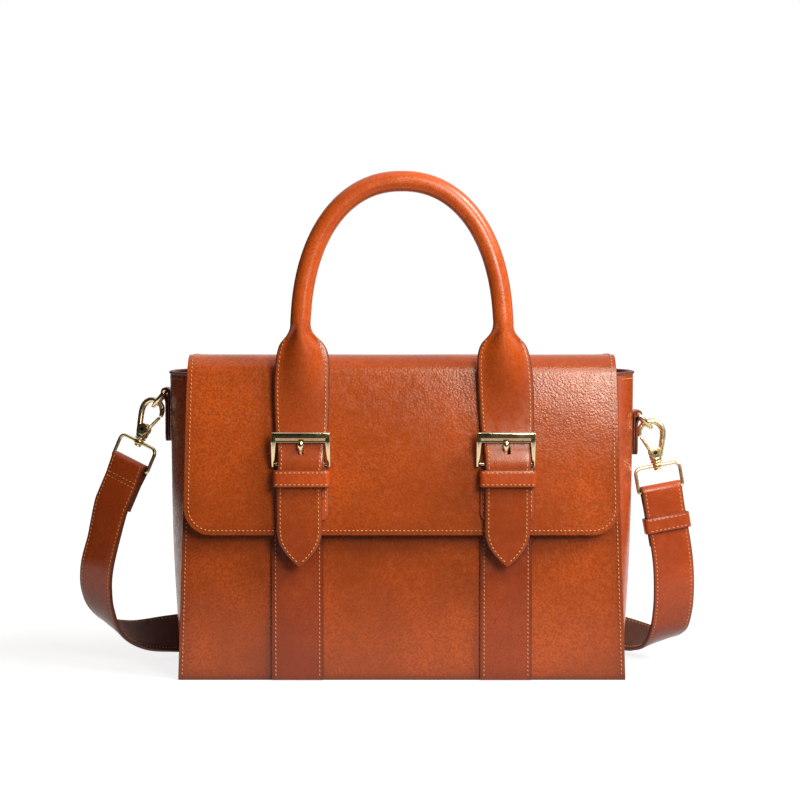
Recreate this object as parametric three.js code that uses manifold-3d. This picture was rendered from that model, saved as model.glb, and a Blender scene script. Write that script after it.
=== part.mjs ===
// Crossbody satchel in leather: a bellied body under a buckled flap, a rolled top handle
// and a flat shoulder strap on swivel snap hooks.
// Millimetres, +Z up, +X to the viewer's right. The front faces -Y and the base stands on z = 0.

import * as THREE from 'three';
import { mergeVertices } from 'three/addons/utils/BufferGeometryUtils.js';
import Module from 'manifold-3d';

const wasm = await Module();
wasm.setup();

// Stock thicknesses and the clearance between pieces that touch
const LEATHER = 2.2;
const THIN_LEATHER = 1.4;
const STRAP_LEATHER = 3;
const LINING = 0.8;
const BOARD = 2;
const GAP = 0.3;

// Body: panels draw in towards the top, gussets belly out past them
const BODY_WIDTH = 300;
const BODY_DEPTH = 100;
const BODY_HEIGHT = 206;
const TOP_TAPER = 7;
const SEAM_INSET = 1.5;
const FLANGE_WIDTH = 7;
const BELLY_START = 2;
const BELLY = 10.5;
const BELLY_RISE = 60;
const BELLY_POWER = 2.2;
const HEIGHT_CROWDING = 1.4;
const LINING_DROP = 3;
const LINING_SLOPE = 1.4;
const BOARD_INSET = 5;

// Vertical straps on the front panel, in line with the buckles
const STRAP_CENTRE = 68;
const FRONT_STRAP_WIDTH = 34.5;
const FRONT_STRAP_DROP = 56;
const FRONT_STRAP_LIFT = 0.5;

// Magnetic snap between front strap and flap
const SNAP_RISE = 21.3;
const SOCKET_RADIUS = 9;
const SOCKET_THICKNESS = 2.2;
const DISH_RADIUS = 5.2;
const DISH_FLOOR_RADIUS = 3.2;
const DISH_DEPTH = 1.2;
const STUD_RADIUS = 8;
const STUD_DISC = 1.1;
const NUB_RADIUS = 4.6;
const NUB_TIP_RADIUS = 2.6;
const NUB_HEIGHT = 1;

// Flap: from the back bend over the top, round the front bend and down the front
const FLAP_RISE = 10.6;
const FLAP_DROP = 117.9;
const FLAP_WIDTH_TOP = 284;
const FLAP_WIDTH_BOTTOM = 290;
const FLAP_BACK_BEND = 9;
const FLAP_FRONT_BEND = 18;
const FLAP_CORNER = 18.6;
const FLAP_LINING_INSET = 5;
const ANCHOR_HEIGHT = 28;

// Handle: one rolled arch whose ends stand on the handle straps
const HANDLE_HALF_SPAN = 66.5;
const HANDLE_RISE = 100;
const HANDLE_POWER = 2.2;
const HANDLE_RADIUS = 6.75;
const HANDLE_WALL = 1.85;
const NECK_RISE = 15.4;

// Buckle on the flap: a frame whose top bar stands proud, a prong and a keeper
const BAR_DROP = 70.3;
const BAR_RADIUS = 1.5;
const BUCKLE_WIDTH = 40.4;
const BUCKLE_SIDE = 4;
const BUCKLE_RISE = 20.2;
const BUCKLE_DROP = 2.9;
const FOOT_DEPTH = 3.6;
const TOP_BAR_HEIGHT = 6.2;
const TOP_BAR_DEPTH = 4;
const TOP_BAR_STAND = 7.2;
const BAR_CHAMFER = 1;
const FOOT_TAPER = 0.82;
const LEDGE_HEIGHT = 2;
const LEDGE_DEPTH = 1.5;
const PRONG_RADIUS = 1.2;
const PRONG_EYE_WIDTH = 4;
const PRONG_EYE_WALL = 1.1;
const CHAPE_WIDTH = 34.4;
const CHAPE_TONGUE = 30.8;
const CHAPE_DROP = 37.5;
const CHAPE_TUCK = 22.3;
const KEEPER_WIDTH = 38;
const KEEPER_DROP = 4.5;
const KEEPER_HEIGHT = 11.2;

// Handle strap: shaped shoulder, straight run through the buckle, pointed end
const POINT_WIDTH = 30.2;
const SHOULDER_WIDTH = 35;
const SHOULDER_DROP = 26;
const PAD_DROP = 39;
const NECK_WIDTH = 26.4;
const NECK_THICKNESS = 11;
const POINT_DROP = 20.2;
const POINT_LENGTH = 20.5;
const SLOT_WIDTH = 3.6;

// Ring tab and D-ring on each gusset
const RING_WIRE = 1.4;
const RING_HALF_WIDTH = 10.6;
const RING_DEPTH = 13.5;
const RING_CORNER = 2.2;
const TAB_CORNER = 5;

// Snap hook: claw, gate on a pin, swivel post in a wire loop
const EYE_RADIUS = 8.1;
const CLAW_HALF_WIDTH = 1.9;
const CLAW_HALF_DEPTH = 2.1;
const CLAW_END = 188;
const RING_PLAY = 0.8;
const PIVOT_DROP = 13.6;
const BARREL_RADIUS = 3.8;
const BARREL_HALF_DEPTH = 2.8;
const NECK_WALL = 3.2;
const GATE_HALF_DEPTH = 0.95;
const GATE_HALF_WIDTH = 1.1;
const GATE_TIP_X = -5.6;
const GATE_TIP_Z = -0.8;
const PIN_RADIUS = 1.1;
const PIN_HEAD_RADIUS = 1.9;
const PIN_HEAD = 0.6;
const SPRING_WIDTH = 1.4;
const SPRING_REACH = 3.6;
const SPRING_THICKNESS = 0.4;
const POST_RADIUS = 2;
const COLLAR_RADIUS = 4;
const COLLAR_HEIGHT = 3;
const KNOB_RADIUS = 3.2;
const KNOB_HEIGHT = 2.4;
const LOOP_WIDTH = 34;
const LOOP_HEIGHT = 19.3;
const LOOP_WIRE = 1.25;
const LOOP_CORNER = 4;

// How far each ring sits below the body's rim, how long its tab and its strap end's tail are,
// and how the ring droops and the clasp stands, in degrees
const CLASPS = {
  left: { side: -1, ringDrop: 14.5, tabLength: 34, tail: 30, droop: 50, tilt: 23, turn: -28 },
  right: { side: 1, ringDrop: 30, tabLength: 28, tail: 38, droop: 45, tilt: -10, turn: 6 },
};

// Shoulder strap: width, end folds, and a keeper on the right end
const SLING_WIDTH = 28.4;
const SLING_LEATHER = 2.8;
const FOLD_NECK = 11;
const SLIDER_DROP = 23.5;
const SLIDER_HEIGHT = 10.6;
const SLIDER_LEATHER = 1.5;
const SLIDER_PLAY = 0.5;

// The strap's run from the left clasp to the right one, with the way its outer face looks.
// It drops to the floor on each side and lies folded behind the body, standing on its edge.
const STRAP_RUN = [
  { at: [-207, -1, 88], face: [-0.56, -0.82, 0.1] },
  { at: [-211.6, 0, 69], face: [-0.54, -0.84, -0.05] },
  { at: [-212.6, 3, 54], face: [-0.56, -0.8, -0.22] },
  { at: [-210.3, 9, 39], face: [-0.62, -0.64, -0.45] },
  { at: [-203, 20, 24.5], face: [-0.68, -0.25, -0.68] },
  { at: [-188, 37, 15.8], face: [-0.5, 0.35, -0.78] },
  { at: [-166, 52, 14.2], face: [-0.2, 0.8, -0.5] },
  { at: [-140, 60, 14.8], face: [-0.05, 1, -0.05] },
  { at: [-95, 62, 14.6], face: [0, 1, 0] },
  { at: [-45, 63, 14.6], face: [0, 1, 0] },
  { at: [-23, 84, 14.6], face: [-1, 0, 0] },
  { at: [-45, 105, 14.6], face: [0, -1, 0] },
  { at: [-90, 106, 14.6], face: [0, -1, 0] },
  { at: [-112, 128, 14.6], face: [-1, 0, 0] },
  { at: [-90, 150, 14.6], face: [0, 1, 0] },
  { at: [0, 153, 14.6], face: [0, 1, 0] },
  { at: [90, 150, 14.6], face: [0, 1, 0] },
  { at: [112, 128, 14.6], face: [1, 0, 0] },
  { at: [90, 106, 14.6], face: [0, -1, 0] },
  { at: [45, 105, 14.6], face: [0, -1, 0] },
  { at: [23, 84, 14.6], face: [1, 0, 0] },
  { at: [45, 63, 14.6], face: [0, 1, 0] },
  { at: [95, 62, 14.6], face: [0, 1, 0] },
  { at: [128, 65, 14.8], face: [0.05, 1, -0.05] },
  { at: [155, 61, 14.6], face: [0.25, 0.85, -0.45] },
  { at: [172.5, 44, 12.2], face: [0.4, 0.3, -0.85] },
  { at: [182, 27, 14], face: [0.38, -0.3, -0.86] },
  { at: [187, 12, 24.5], face: [0.25, -0.8, -0.55] },
  { at: [188.9, 4, 40], face: [0.15, -0.95, -0.25] },
  { at: [189, 0, 56], face: [0.1, -0.99, -0.1] },
  { at: [188.2, -1, 72], face: [0.1, -0.99, 0] },
];
const RUN_STEPS = 64;

// Places worked out from the sizes above
const FRONT_FACE = -BODY_DEPTH / 2;
const BACK_FACE = BODY_DEPTH / 2;
const BASE_TOP = LEATHER;
const FLANGE_Y = BODY_DEPTH / 2 - LEATHER - GAP - LEATHER / 2;
const LINING_Y = FLANGE_Y - LEATHER / 2 - GAP;
const LINING_SETBACK = LEATHER + GAP;
const LINING_FLOOR = BASE_TOP + GAP + BOARD + GAP;
const FRONT_STRAP_TOP = BODY_HEIGHT - FRONT_STRAP_DROP;
const FRONT_STRAP_FACE = FRONT_FACE - GAP - LEATHER;
const FLAP_TOP = BODY_HEIGHT + FLAP_RISE;
const FLAP_BOTTOM = FLAP_TOP - FLAP_DROP;
const SNAP_HEIGHT = FLAP_BOTTOM + SNAP_RISE;
const STUD_SEAT = FRONT_STRAP_FACE - GAP - SOCKET_THICKNESS - GAP - STUD_DISC;
const FLAP_INNER = STUD_SEAT - GAP - LINING - GAP;
const FLAP_FRONT = FLAP_INNER - LEATHER;
const FLAP_BACK = BACK_FACE + GAP + LEATHER;
const ANCHOR_TOP = FLAP_TOP - FLAP_BACK_BEND - GAP;
const NECK_HEIGHT = FLAP_TOP + NECK_RISE;
const HANDLE_Y = FLAP_FRONT - GAP - HANDLE_RADIUS;
const HANDLE_STRAP_TOP = NECK_HEIGHT - HANDLE_RADIUS - GAP;
const BAR_HEIGHT = FLAP_TOP - BAR_DROP;
const BUCKLE_TOP = BAR_HEIGHT + BUCKLE_RISE;
const BUCKLE_FOOT = BAR_HEIGHT - BUCKLE_DROP;
const CHAPE_BOTTOM = BAR_HEIGHT - CHAPE_DROP;
const CHAPE_RETURN = BAR_HEIGHT - CHAPE_TUCK;
const KEEPER_TOP = BAR_HEIGHT - KEEPER_DROP;
const KEEPER_BOTTOM = KEEPER_TOP - KEEPER_HEIGHT;
const POINT_TIP = FLAP_BOTTOM - POINT_DROP;
const POINT_START = POINT_TIP + POINT_LENGTH;
const CHAPE_Y = FLAP_FRONT - GAP - THIN_LEATHER / 2;
const BAR_Y = FLAP_FRONT - GAP - THIN_LEATHER - GAP - BAR_RADIUS;
const CHAPE_TURN = BAR_RADIUS + GAP + THIN_LEATHER / 2;
const STRAP_HALF = STRAP_LEATHER / 2;
const STRAP_OVER_BAR = BAR_Y - CHAPE_TURN - THIN_LEATHER / 2 - GAP - STRAP_HALF;
const TOP_BAR_BACK = FLAP_FRONT - TOP_BAR_STAND;
const TOP_BAR_FRONT = TOP_BAR_BACK - TOP_BAR_DEPTH;
const TOP_BAR_BOTTOM = BUCKLE_TOP - TOP_BAR_HEIGHT;
const LEDGE_FRONT = TOP_BAR_BACK - LEDGE_DEPTH;
const TAB_WIDTH = 2 * (RING_HALF_WIDTH - RING_CORNER) - 2 * GAP;
const PIVOT_Z = -PIVOT_DROP;
const SLOT_RADIUS = BARREL_RADIUS + 2 * GAP;
const NECK_BOTTOM = PIVOT_Z - SLOT_RADIUS - NECK_WALL;
const COLLAR_TOP = NECK_BOTTOM - GAP;
const LOOP_TOP_BAR = COLLAR_TOP - COLLAR_HEIGHT / 2;
const LOOP_BOTTOM_BAR = LOOP_TOP_BAR - LOOP_HEIGHT + 2 * LOOP_WIRE;
const KNOB_TOP = COLLAR_TOP - COLLAR_HEIGHT - GAP;
const SLING_HALF = SLING_WIDTH / 2;
const FOLD_TURN = LOOP_WIRE + GAP + SLING_LEATHER / 2;
const LAYER_Y = SLING_LEATHER / 2 + GAP / 2;

const radians = THREE.MathUtils.degToRad;
const vec = (x, y, z) => new THREE.Vector3(x, y, z);

// Surfaces and solids

/** A closed surface from points and triangles, turned so that its faces point out. */
function closedSurface(points, triangles) {
  let volume = 0;
  for (const [a, b, c] of triangles) {
    volume += points[a].dot(points[b].clone().cross(points[c]));
  }
  const outward = ([a, b, c]) => (volume > 0 ? [a, b, c] : [a, c, b]);
  const geometry = new THREE.BufferGeometry().setFromPoints(points);
  geometry.setIndex(triangles.flatMap(outward));
  return geometry;
}

/** The solid between two grids of points with the same rows and columns. */
function slab(front, back) {
  const rows = front.length;
  const columns = front[0].length;
  const at = (layer, row, column) => (layer * rows + row) * columns + column;
  const triangles = [];
  const quad = (a, b, c, d) => triangles.push([a, b, c], [a, c, d]);
  const lastRow = rows - 1;
  const lastColumn = columns - 1;
  for (let r = 0; r < lastRow; r += 1) {
    for (let c = 0; c < lastColumn; c += 1) {
      quad(at(0, r, c), at(0, r, c + 1), at(0, r + 1, c + 1), at(0, r + 1, c));
      quad(at(1, r, c), at(1, r + 1, c), at(1, r + 1, c + 1), at(1, r, c + 1));
    }
    quad(at(0, r, 0), at(0, r + 1, 0), at(1, r + 1, 0), at(1, r, 0));
    quad(at(0, r + 1, lastColumn), at(0, r, lastColumn), at(1, r, lastColumn), at(1, r + 1, lastColumn));
  }
  for (let c = 0; c < lastColumn; c += 1) {
    quad(at(0, 0, c + 1), at(0, 0, c), at(1, 0, c), at(1, 0, c + 1));
    quad(at(0, lastRow, c), at(0, lastRow, c + 1), at(1, lastRow, c + 1), at(1, lastRow, c));
  }
  return closedSurface([...front.flat(), ...back.flat()], triangles);
}

/** The solid through a row of closed sections, with flat ends, or a ring if it has none. */
function loft(sections, endless = false) {
  const size = sections[0].length;
  const triangles = [];
  const spans = endless ? sections.length : sections.length - 1;
  for (let s = 0; s < spans; s += 1) {
    const here = s * size;
    const there = ((s + 1) % sections.length) * size;
    for (let k = 0; k < size; k += 1) {
      const next = (k + 1) % size;
      triangles.push([here + k, here + next, there + next], [here + k, there + next, there + k]);
    }
  }
  const end = (sections.length - 1) * size;
  for (let k = 1; !endless && k + 1 < size; k += 1) {
    triangles.push([0, k + 1, k], [end, end + k, end + k + 1]);
  }
  return closedSurface(sections.flat(), triangles);
}

/** A closed geometry as a solid that can be joined and cut. */
function solid(geometry) {
  const bare = geometry.clone();
  bare.deleteAttribute('normal');
  bare.deleteAttribute('uv');
  const merged = mergeVertices(bare);
  const vertProperties = merged.attributes.position.array;
  const triVerts = Uint32Array.from(merged.index.array);
  return new wasm.Manifold(new wasm.Mesh({ numProp: 3, vertProperties, triVerts }));
}

/** The geometry of a joined or cut solid. */
function geometryOf(body) {
  const mesh = body.getMesh();
  const geometry = new THREE.BufferGeometry();
  geometry.setAttribute('position', new THREE.BufferAttribute(mesh.vertProperties, 3));
  geometry.setIndex(new THREE.BufferAttribute(mesh.triVerts, 1));
  return geometry;
}

/** Several closed geometries joined into one solid. */
function joined(...geometries) {
  return geometries.map(solid).reduce((whole, piece) => whole.add(piece));
}

/** A value read off a short table of [position, value] pairs, straight between them. */
function readOff(table, position) {
  const after = table.findIndex(([at]) => at >= position);
  if (after === 0) return table[0][1];
  if (after < 0) return table.at(-1)[1];
  const [from, low] = table[after - 1];
  const [to, high] = table[after];
  return THREE.MathUtils.mapLinear(position, from, to, low, high);
}

/** A flat outline in x and z, made thick from yFront towards +Y. */
function upright(outline, thickness, yFront) {
  const geometry = new THREE.ExtrudeGeometry(outline, { depth: thickness, bevelEnabled: false, curveSegments: 6 });
  return geometry.rotateX(Math.PI / 2).translate(0, yFront + thickness, 0);
}

/** An outline of [y, z] points, carried along X from one place to another. */
function alongX(outline, from, to) {
  const shape = new THREE.Shape(outline.map(([y, z]) => new THREE.Vector2(y, z)));
  const geometry = new THREE.ExtrudeGeometry(shape, { depth: to - from, bevelEnabled: false });
  const turn = new THREE.Matrix4().makeBasis(vec(0, 1, 0), vec(0, 0, 1), vec(1, 0, 0));
  return geometry.applyMatrix4(turn).translate(from, 0, 0);
}

/** A cylinder along 'x', 'y' or 'z' round a centre. */
function rod(axis, radius, length, centre, sides = 16) {
  const geometry = new THREE.CylinderGeometry(radius, radius, length, sides);
  if (axis === 'x') geometry.rotateZ(Math.PI / 2);
  if (axis === 'z') geometry.rotateX(Math.PI / 2);
  return geometry.translate(...centre);
}

/** An oval section carried along flat points [x, z], with sizeAt(share) = [half width, half depth]. */
function wire(points, sizeAt, sides, endless = false) {
  const count = points.length;
  const point = (k) => (endless ? points[(k + count) % count] : points[THREE.MathUtils.clamp(k, 0, count - 1)]);
  const sections = points.map(([x, z], k) => {
    const tangent = new THREE.Vector2(point(k + 1)[0] - point(k - 1)[0], point(k + 1)[1] - point(k - 1)[1]).normalize();
    const [halfWidth, halfDepth] = sizeAt(k / (count - 1));
    return Array.from({ length: sides }, (_, n) => {
      const angle = (2 * Math.PI * n) / sides;
      const out = halfWidth * Math.cos(angle);
      return vec(x + tangent.y * out, halfDepth * Math.sin(angle), z - tangent.x * out);
    });
  });
  return loft(sections, endless);
}

/** A strap through stations of { at, side, face, halfWidth, halfThickness, edge, margin }. */
function strap(stations) {
  return loft(stations.map(({ at, side, face, halfWidth, halfThickness, edge, margin }) => {
    const shoulder = halfWidth - margin;
    const corners = [
      [halfWidth, -edge], [halfWidth, edge], [shoulder, halfThickness], [-shoulder, halfThickness],
      [-halfWidth, edge], [-halfWidth, -edge], [-shoulder, -halfThickness], [shoulder, -halfThickness],
    ];
    return corners.map(([u, v]) => at.clone().addScaledVector(side, u).addScaledVector(face, v));
  }));
}

/** Strap stations along a curve in the y-z plane, crosswise to X, with sizesAt(point) for the section. */
function crosswise(points, centreX, sizesAt) {
  const last = points.length - 1;
  return points.map((point, k) => {
    const before = points[Math.max(k - 1, 0)];
    const after = points[Math.min(k + 1, last)];
    const tangent = after.clone().sub(before).normalize();
    return {
      at: vec(centreX, point.x, point.y),
      side: vec(1, 0, 0),
      face: vec(0, tangent.y, -tangent.x),
      ...sizesAt(point, k / last),
    };
  });
}

/** A plain flat section for thin straps. */
function flatSection(halfWidth, thickness) {
  const margin = thickness / 5;
  const halfThickness = thickness / 2;
  return { halfWidth, halfThickness, edge: halfThickness - margin, margin };
}

// Finishes
const FINISHES = {
  leather: { color: 0xb5622b, roughness: 0.5, metalness: 0 },
  lining: { color: 0x6b5a45, roughness: 0.9, metalness: 0 },
  board: { color: 0x8a7a66, roughness: 0.95, metalness: 0 },
  cord: { color: 0xd8c9a8, roughness: 0.95, metalness: 0 },
  brass: { color: 0xd9b56a, roughness: 0.25, metalness: 1 },
  steel: { color: 0xb9bcc0, roughness: 0.35, metalness: 1 },
};

const bag = new THREE.Group();

/** Adds one named piece with a material of its own. */
function addPiece(parent, name, geometry, finish) {
  const mesh = new THREE.Mesh(geometry, new THREE.MeshStandardMaterial(FINISHES[finish]));
  mesh.name = name;
  parent.add(mesh);
  return mesh;
}

// Body: panels, base, gussets and lining

const panelHalf = (z) => BODY_WIDTH / 2 - TOP_TAPER * (z / BODY_HEIGHT);

/** Middle of the gusset's leather at height z, y from mid depth. */
function gussetX(z, y) {
  const seam = panelHalf(z) - SEAM_INSET;
  const belly = BODY_WIDTH / 2 - BELLY_START + BELLY * (1 - Math.exp(-z / BELLY_RISE));
  return seam + (belly - seam) * (1 - Math.abs(y / FLANGE_Y) ** BELLY_POWER);
}

function panelOutline() {
  const outline = new THREE.Shape();
  outline.moveTo(-panelHalf(0), 0);
  outline.lineTo(panelHalf(0), 0);
  outline.lineTo(panelHalf(BODY_HEIGHT), BODY_HEIGHT);
  outline.lineTo(-panelHalf(BODY_HEIGHT), BODY_HEIGHT);
  return outline;
}

/** Heights from low to high, closer together near the base where the belly swells. */
function bodyHeights(low, high, count) {
  return Array.from({ length: count }, (_, k) => low + (high - low) * (k / (count - 1)) ** HEIGHT_CROWDING);
}

const ACROSS = Array.from({ length: 13 }, (_, k) => k / 6 - 1);

function gusset(side) {
  const half = LEATHER / 2;
  const rows = bodyHeights(BASE_TOP + GAP, BODY_HEIGHT, 9).map((z) => {
    const flangeEnd = panelHalf(z) - SEAM_INSET - FLANGE_WIDTH;
    const web = ACROSS.map((share) => [gussetX(z, share * FLANGE_Y), share * FLANGE_Y]);
    const line = [[flangeEnd, -FLANGE_Y], ...web, [flangeEnd, FLANGE_Y]];
    return line.map(([x, y], k) => {
      const before = line[Math.max(k - 1, 0)];
      const after = line[Math.min(k + 1, line.length - 1)];
      const tangent = new THREE.Vector2(after[0] - before[0], after[1] - before[1]).normalize();
      const place = (offset) => vec(side * (x + tangent.y * offset), y - tangent.x * offset, z);
      return { outer: place(half), inner: place(-half) };
    });
  });
  const grid = (face) => rows.map((row) => row.map((point) => point[face]));
  return slab(grid('outer'), grid('inner'));
}

/** The open-topped lining as outer and inner walls round a floor. */
function lining() {
  const ring = (z, inset) => {
    const depth = LINING_Y - inset;
    const right = ACROSS.map((share) => {
      const y = share * depth;
      return vec(gussetX(Math.max(z, LINING_FLOOR), y) - LINING_SETBACK - LINING_SLOPE * inset, y, z);
    });
    return [...right, ...right.map(({ x, y }) => vec(-x, -y, z))];
  };
  const heights = bodyHeights(LINING_FLOOR, BODY_HEIGHT - LINING_DROP, 6);
  const outside = heights.map((z) => ring(z, 0));
  const inside = heights.map((z, k) => ring(k ? z : LINING_FLOOR + LINING, LINING)).reverse();
  return loft([...outside, ...inside]);
}

function buildBody() {
  addPiece(bag, 'front_panel', upright(panelOutline(), LEATHER, FRONT_FACE), 'leather');
  addPiece(bag, 'back_panel', upright(panelOutline(), LEATHER, BACK_FACE - LEATHER), 'leather');
  const base = new THREE.BoxGeometry(2 * panelHalf(0) - 2 * GAP, BODY_DEPTH - 2 * LEATHER - 2 * GAP, BASE_TOP);
  addPiece(bag, 'base_panel', base.translate(0, 0, BASE_TOP / 2), 'leather');
  const board = new THREE.BoxGeometry(2 * (panelHalf(0) - BOARD_INSET), 2 * LINING_Y, BOARD);
  addPiece(bag, 'base_board', board.translate(0, 0, BASE_TOP + GAP + BOARD / 2), 'board');
  addPiece(bag, 'bag_lining', lining(), 'lining');
}

function buildFrontStrap(hand, side) {
  const outline = new THREE.Shape();
  const half = FRONT_STRAP_WIDTH / 2;
  const centre = side * STRAP_CENTRE;
  outline.moveTo(centre - half, FRONT_STRAP_LIFT);
  outline.lineTo(centre + half, FRONT_STRAP_LIFT);
  outline.lineTo(centre + half, FRONT_STRAP_TOP - half);
  outline.absarc(centre, FRONT_STRAP_TOP - half, half, 0, Math.PI);
  addPiece(bag, `${hand}_front_strap`, upright(outline, LEATHER, FRONT_STRAP_FACE), 'leather');

  const socket = [
    [0, SOCKET_THICKNESS - DISH_DEPTH], [DISH_FLOOR_RADIUS, SOCKET_THICKNESS - DISH_DEPTH],
    [DISH_RADIUS, SOCKET_THICKNESS], [SOCKET_RADIUS - LINING, SOCKET_THICKNESS],
    [SOCKET_RADIUS, SOCKET_THICKNESS - LINING], [SOCKET_RADIUS, 0], [0, 0],
  ];
  const plate = turned(socket).rotateX(Math.PI);
  addPiece(bag, `${hand}_snap_socket`, plate.translate(centre, FRONT_STRAP_FACE - GAP, SNAP_HEIGHT), 'steel');
}

/** A profile of [radius, height] points turned round the Y axis. */
function turned(profile, sides = 20) {
  const points = profile.map(([radius, height]) => new THREE.Vector2(radius, height));
  const geometry = new THREE.LatheGeometry(points, sides);
  return geometryOf(solid(closedLathe(geometry)));
}

/** A turned surface with its faces pointing out. */
function closedLathe(geometry) {
  const bare = geometry.clone();
  bare.deleteAttribute('normal');
  bare.deleteAttribute('uv');
  const merged = mergeVertices(bare);
  const position = merged.attributes.position;
  const points = Array.from({ length: position.count }, (_, k) => vec().fromBufferAttribute(position, k));
  const index = merged.index.array;
  const triangles = [];
  for (let k = 0; k < index.length; k += 3) {
    const [a, b, c] = [index[k], index[k + 1], index[k + 2]];
    if (a !== b && b !== c && c !== a) triangles.push([a, b, c]);
  }
  return closedSurface(points, triangles);
}

// Flap with its lining and anchor

const FLAP_CORNER_STEPS = 6;

/** Rows of the flap's left and right edge points, at a depth under its outer face and inset from its edge. */
function flapRows(depth, inset, withBackBend) {
  const arc = (y, z, radius, from, to, steps) => Array.from({ length: steps + 1 }, (_, k) => {
    const angle = radians(from + ((to - from) * k) / steps);
    return [y + radius * Math.cos(angle), z + radius * Math.sin(angle)];
  });
  const startAngle = withBackBend ? 0 : 90;
  const backSteps = withBackBend ? 5 : 1;
  const path = [
    ...arc(FLAP_BACK - FLAP_BACK_BEND, FLAP_TOP - FLAP_BACK_BEND, FLAP_BACK_BEND - depth, startAngle, 90, backSteps),
    ...arc(FLAP_FRONT + FLAP_FRONT_BEND, FLAP_TOP - FLAP_FRONT_BEND, FLAP_FRONT_BEND - depth, 90, 180, 7),
  ].slice(withBackBend ? 0 : 1);
  const widening = (z) => THREE.MathUtils.mapLinear(z, FLAP_TOP, FLAP_BOTTOM, FLAP_WIDTH_TOP, FLAP_WIDTH_BOTTOM) / 2;
  const rows = path.map(([y, z]) => ({ y, z, half: widening(z) - inset }));
  const corner = FLAP_CORNER - inset;
  for (let k = 0; k <= FLAP_CORNER_STEPS; k += 1) {
    const angle = radians((90 * k) / FLAP_CORNER_STEPS);
    const z = FLAP_BOTTOM + inset + corner * (1 - Math.sin(angle));
    rows.push({ y: FLAP_FRONT + depth, z, half: widening(z) - inset - corner * (1 - Math.cos(angle)) });
  }
  return rows.map(({ y, z, half }) => [vec(-half, y, z), vec(half, y, z)]);
}

function buildFlap() {
  addPiece(bag, 'flap', slab(flapRows(0, 0, true), flapRows(LEATHER, 0, true)), 'leather');
  const under = LEATHER + GAP;
  const sheet = slab(flapRows(under, FLAP_LINING_INSET, false), flapRows(under + LINING, FLAP_LINING_INSET, false));
  addPiece(bag, 'flap_lining', sheet, 'lining');
  const half = FLAP_WIDTH_TOP / 2;
  const anchor = new THREE.BoxGeometry(2 * half, LEATHER, ANCHOR_HEIGHT);
  anchor.translate(0, FLAP_BACK - LEATHER / 2, ANCHOR_TOP - ANCHOR_HEIGHT / 2);
  addPiece(bag, 'flap_anchor', anchor, 'leather');
}

function buildSnapStud(hand, centre) {
  const profile = [
    [0, 0], [STUD_RADIUS, 0], [STUD_RADIUS, STUD_DISC], [NUB_RADIUS, STUD_DISC],
    [NUB_TIP_RADIUS, STUD_DISC + NUB_HEIGHT], [0, STUD_DISC + NUB_HEIGHT],
  ];
  addPiece(bag, `${hand}_snap_stud`, turned(profile).translate(centre, STUD_SEAT, SNAP_HEIGHT), 'steel');
}

// Handle and its straps

/** The handle's centre line in x and z, run on below the neck by an extra length. */
function archLine(extra) {
  const steps = 18;
  const arch = Array.from({ length: steps + 1 }, (_, k) => {
    const angle = Math.PI * (1 - k / steps);
    const grow = (value) => Math.sign(value) * Math.abs(value) ** (2 / HANDLE_POWER);
    return [HANDLE_HALF_SPAN * grow(Math.cos(angle)), NECK_HEIGHT + HANDLE_RISE * grow(Math.abs(Math.sin(angle)))];
  });
  const foot = NECK_HEIGHT - extra;
  return [[-HANDLE_HALF_SPAN, foot], ...arch, [HANDLE_HALF_SPAN, foot]];
}

function buildHandle() {
  const tube = (radius, extra) => solid(wire(archLine(extra), () => [radius, radius], 10).translate(0, HANDLE_Y, 0));
  const reach = 2 * (HANDLE_HALF_SPAN + HANDLE_RADIUS + HANDLE_WALL);
  const room = new THREE.BoxGeometry(reach, 4 * HANDLE_RADIUS, HANDLE_RISE + 2 * HANDLE_RADIUS);
  room.translate(0, HANDLE_Y, NECK_HEIGHT + HANDLE_RISE / 2 + HANDLE_RADIUS);
  // Each foot ends in a round knuckle about the line that the handle folds on.
  const keep = joined(room, rod('x', HANDLE_RADIUS, reach, [0, HANDLE_Y, NECK_HEIGHT], 20));
  const bore = HANDLE_RADIUS - HANDLE_WALL;
  const below = 2 * HANDLE_RADIUS;
  const cover = tube(HANDLE_RADIUS, below).subtract(tube(bore, 2 * below)).intersect(keep);
  addPiece(bag, 'handle_cover', geometryOf(cover), 'leather');
  addPiece(bag, 'handle_core', geometryOf(tube(bore - GAP, below).intersect(keep)), 'cord');
}

/** Middle line of the handle strap as [y, z]: off the flap, behind the top bar, over the heel bar, down. */
function handleStrapLine() {
  const flat = FLAP_FRONT - GAP - STRAP_HALF;
  const padded = HANDLE_Y - flat;
  const rise = STRAP_OVER_BAR - flat;
  const bend = TOP_BAR_BOTTOM - BAR_HEIGHT;
  const line = [
    [HANDLE_Y, HANDLE_STRAP_TOP],
    [flat + 0.87 * padded, NECK_HEIGHT - 0.46 * PAD_DROP],
    [flat + 0.61 * padded, NECK_HEIGHT - 0.69 * PAD_DROP],
    [flat + 0.29 * padded, NECK_HEIGHT - PAD_DROP],
    [flat + 0.12 * rise, BUCKLE_TOP + bend],
    [flat + 0.15 * rise, BUCKLE_TOP + 0.36 * bend],
    [flat + 0.28 * rise, BUCKLE_TOP - 0.14 * bend],
    [flat + 0.46 * rise, TOP_BAR_BOTTOM - 0.14 * bend],
    [flat + 0.76 * rise, BAR_HEIGHT + 0.54 * bend],
    [STRAP_OVER_BAR, BAR_HEIGHT],
    [flat + 0.85 * rise, (KEEPER_TOP + KEEPER_BOTTOM) / 2],
    [flat + 0.67 * rise, KEEPER_BOTTOM],
    [flat + 0.51 * rise, (KEEPER_BOTTOM + FLAP_BOTTOM) / 2],
    [flat + 0.33 * rise, POINT_START],
    [flat + 0.21 * rise, POINT_TIP],
  ];
  return new THREE.SplineCurve(line.map(([y, z]) => new THREE.Vector2(y, z)));
}

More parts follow.
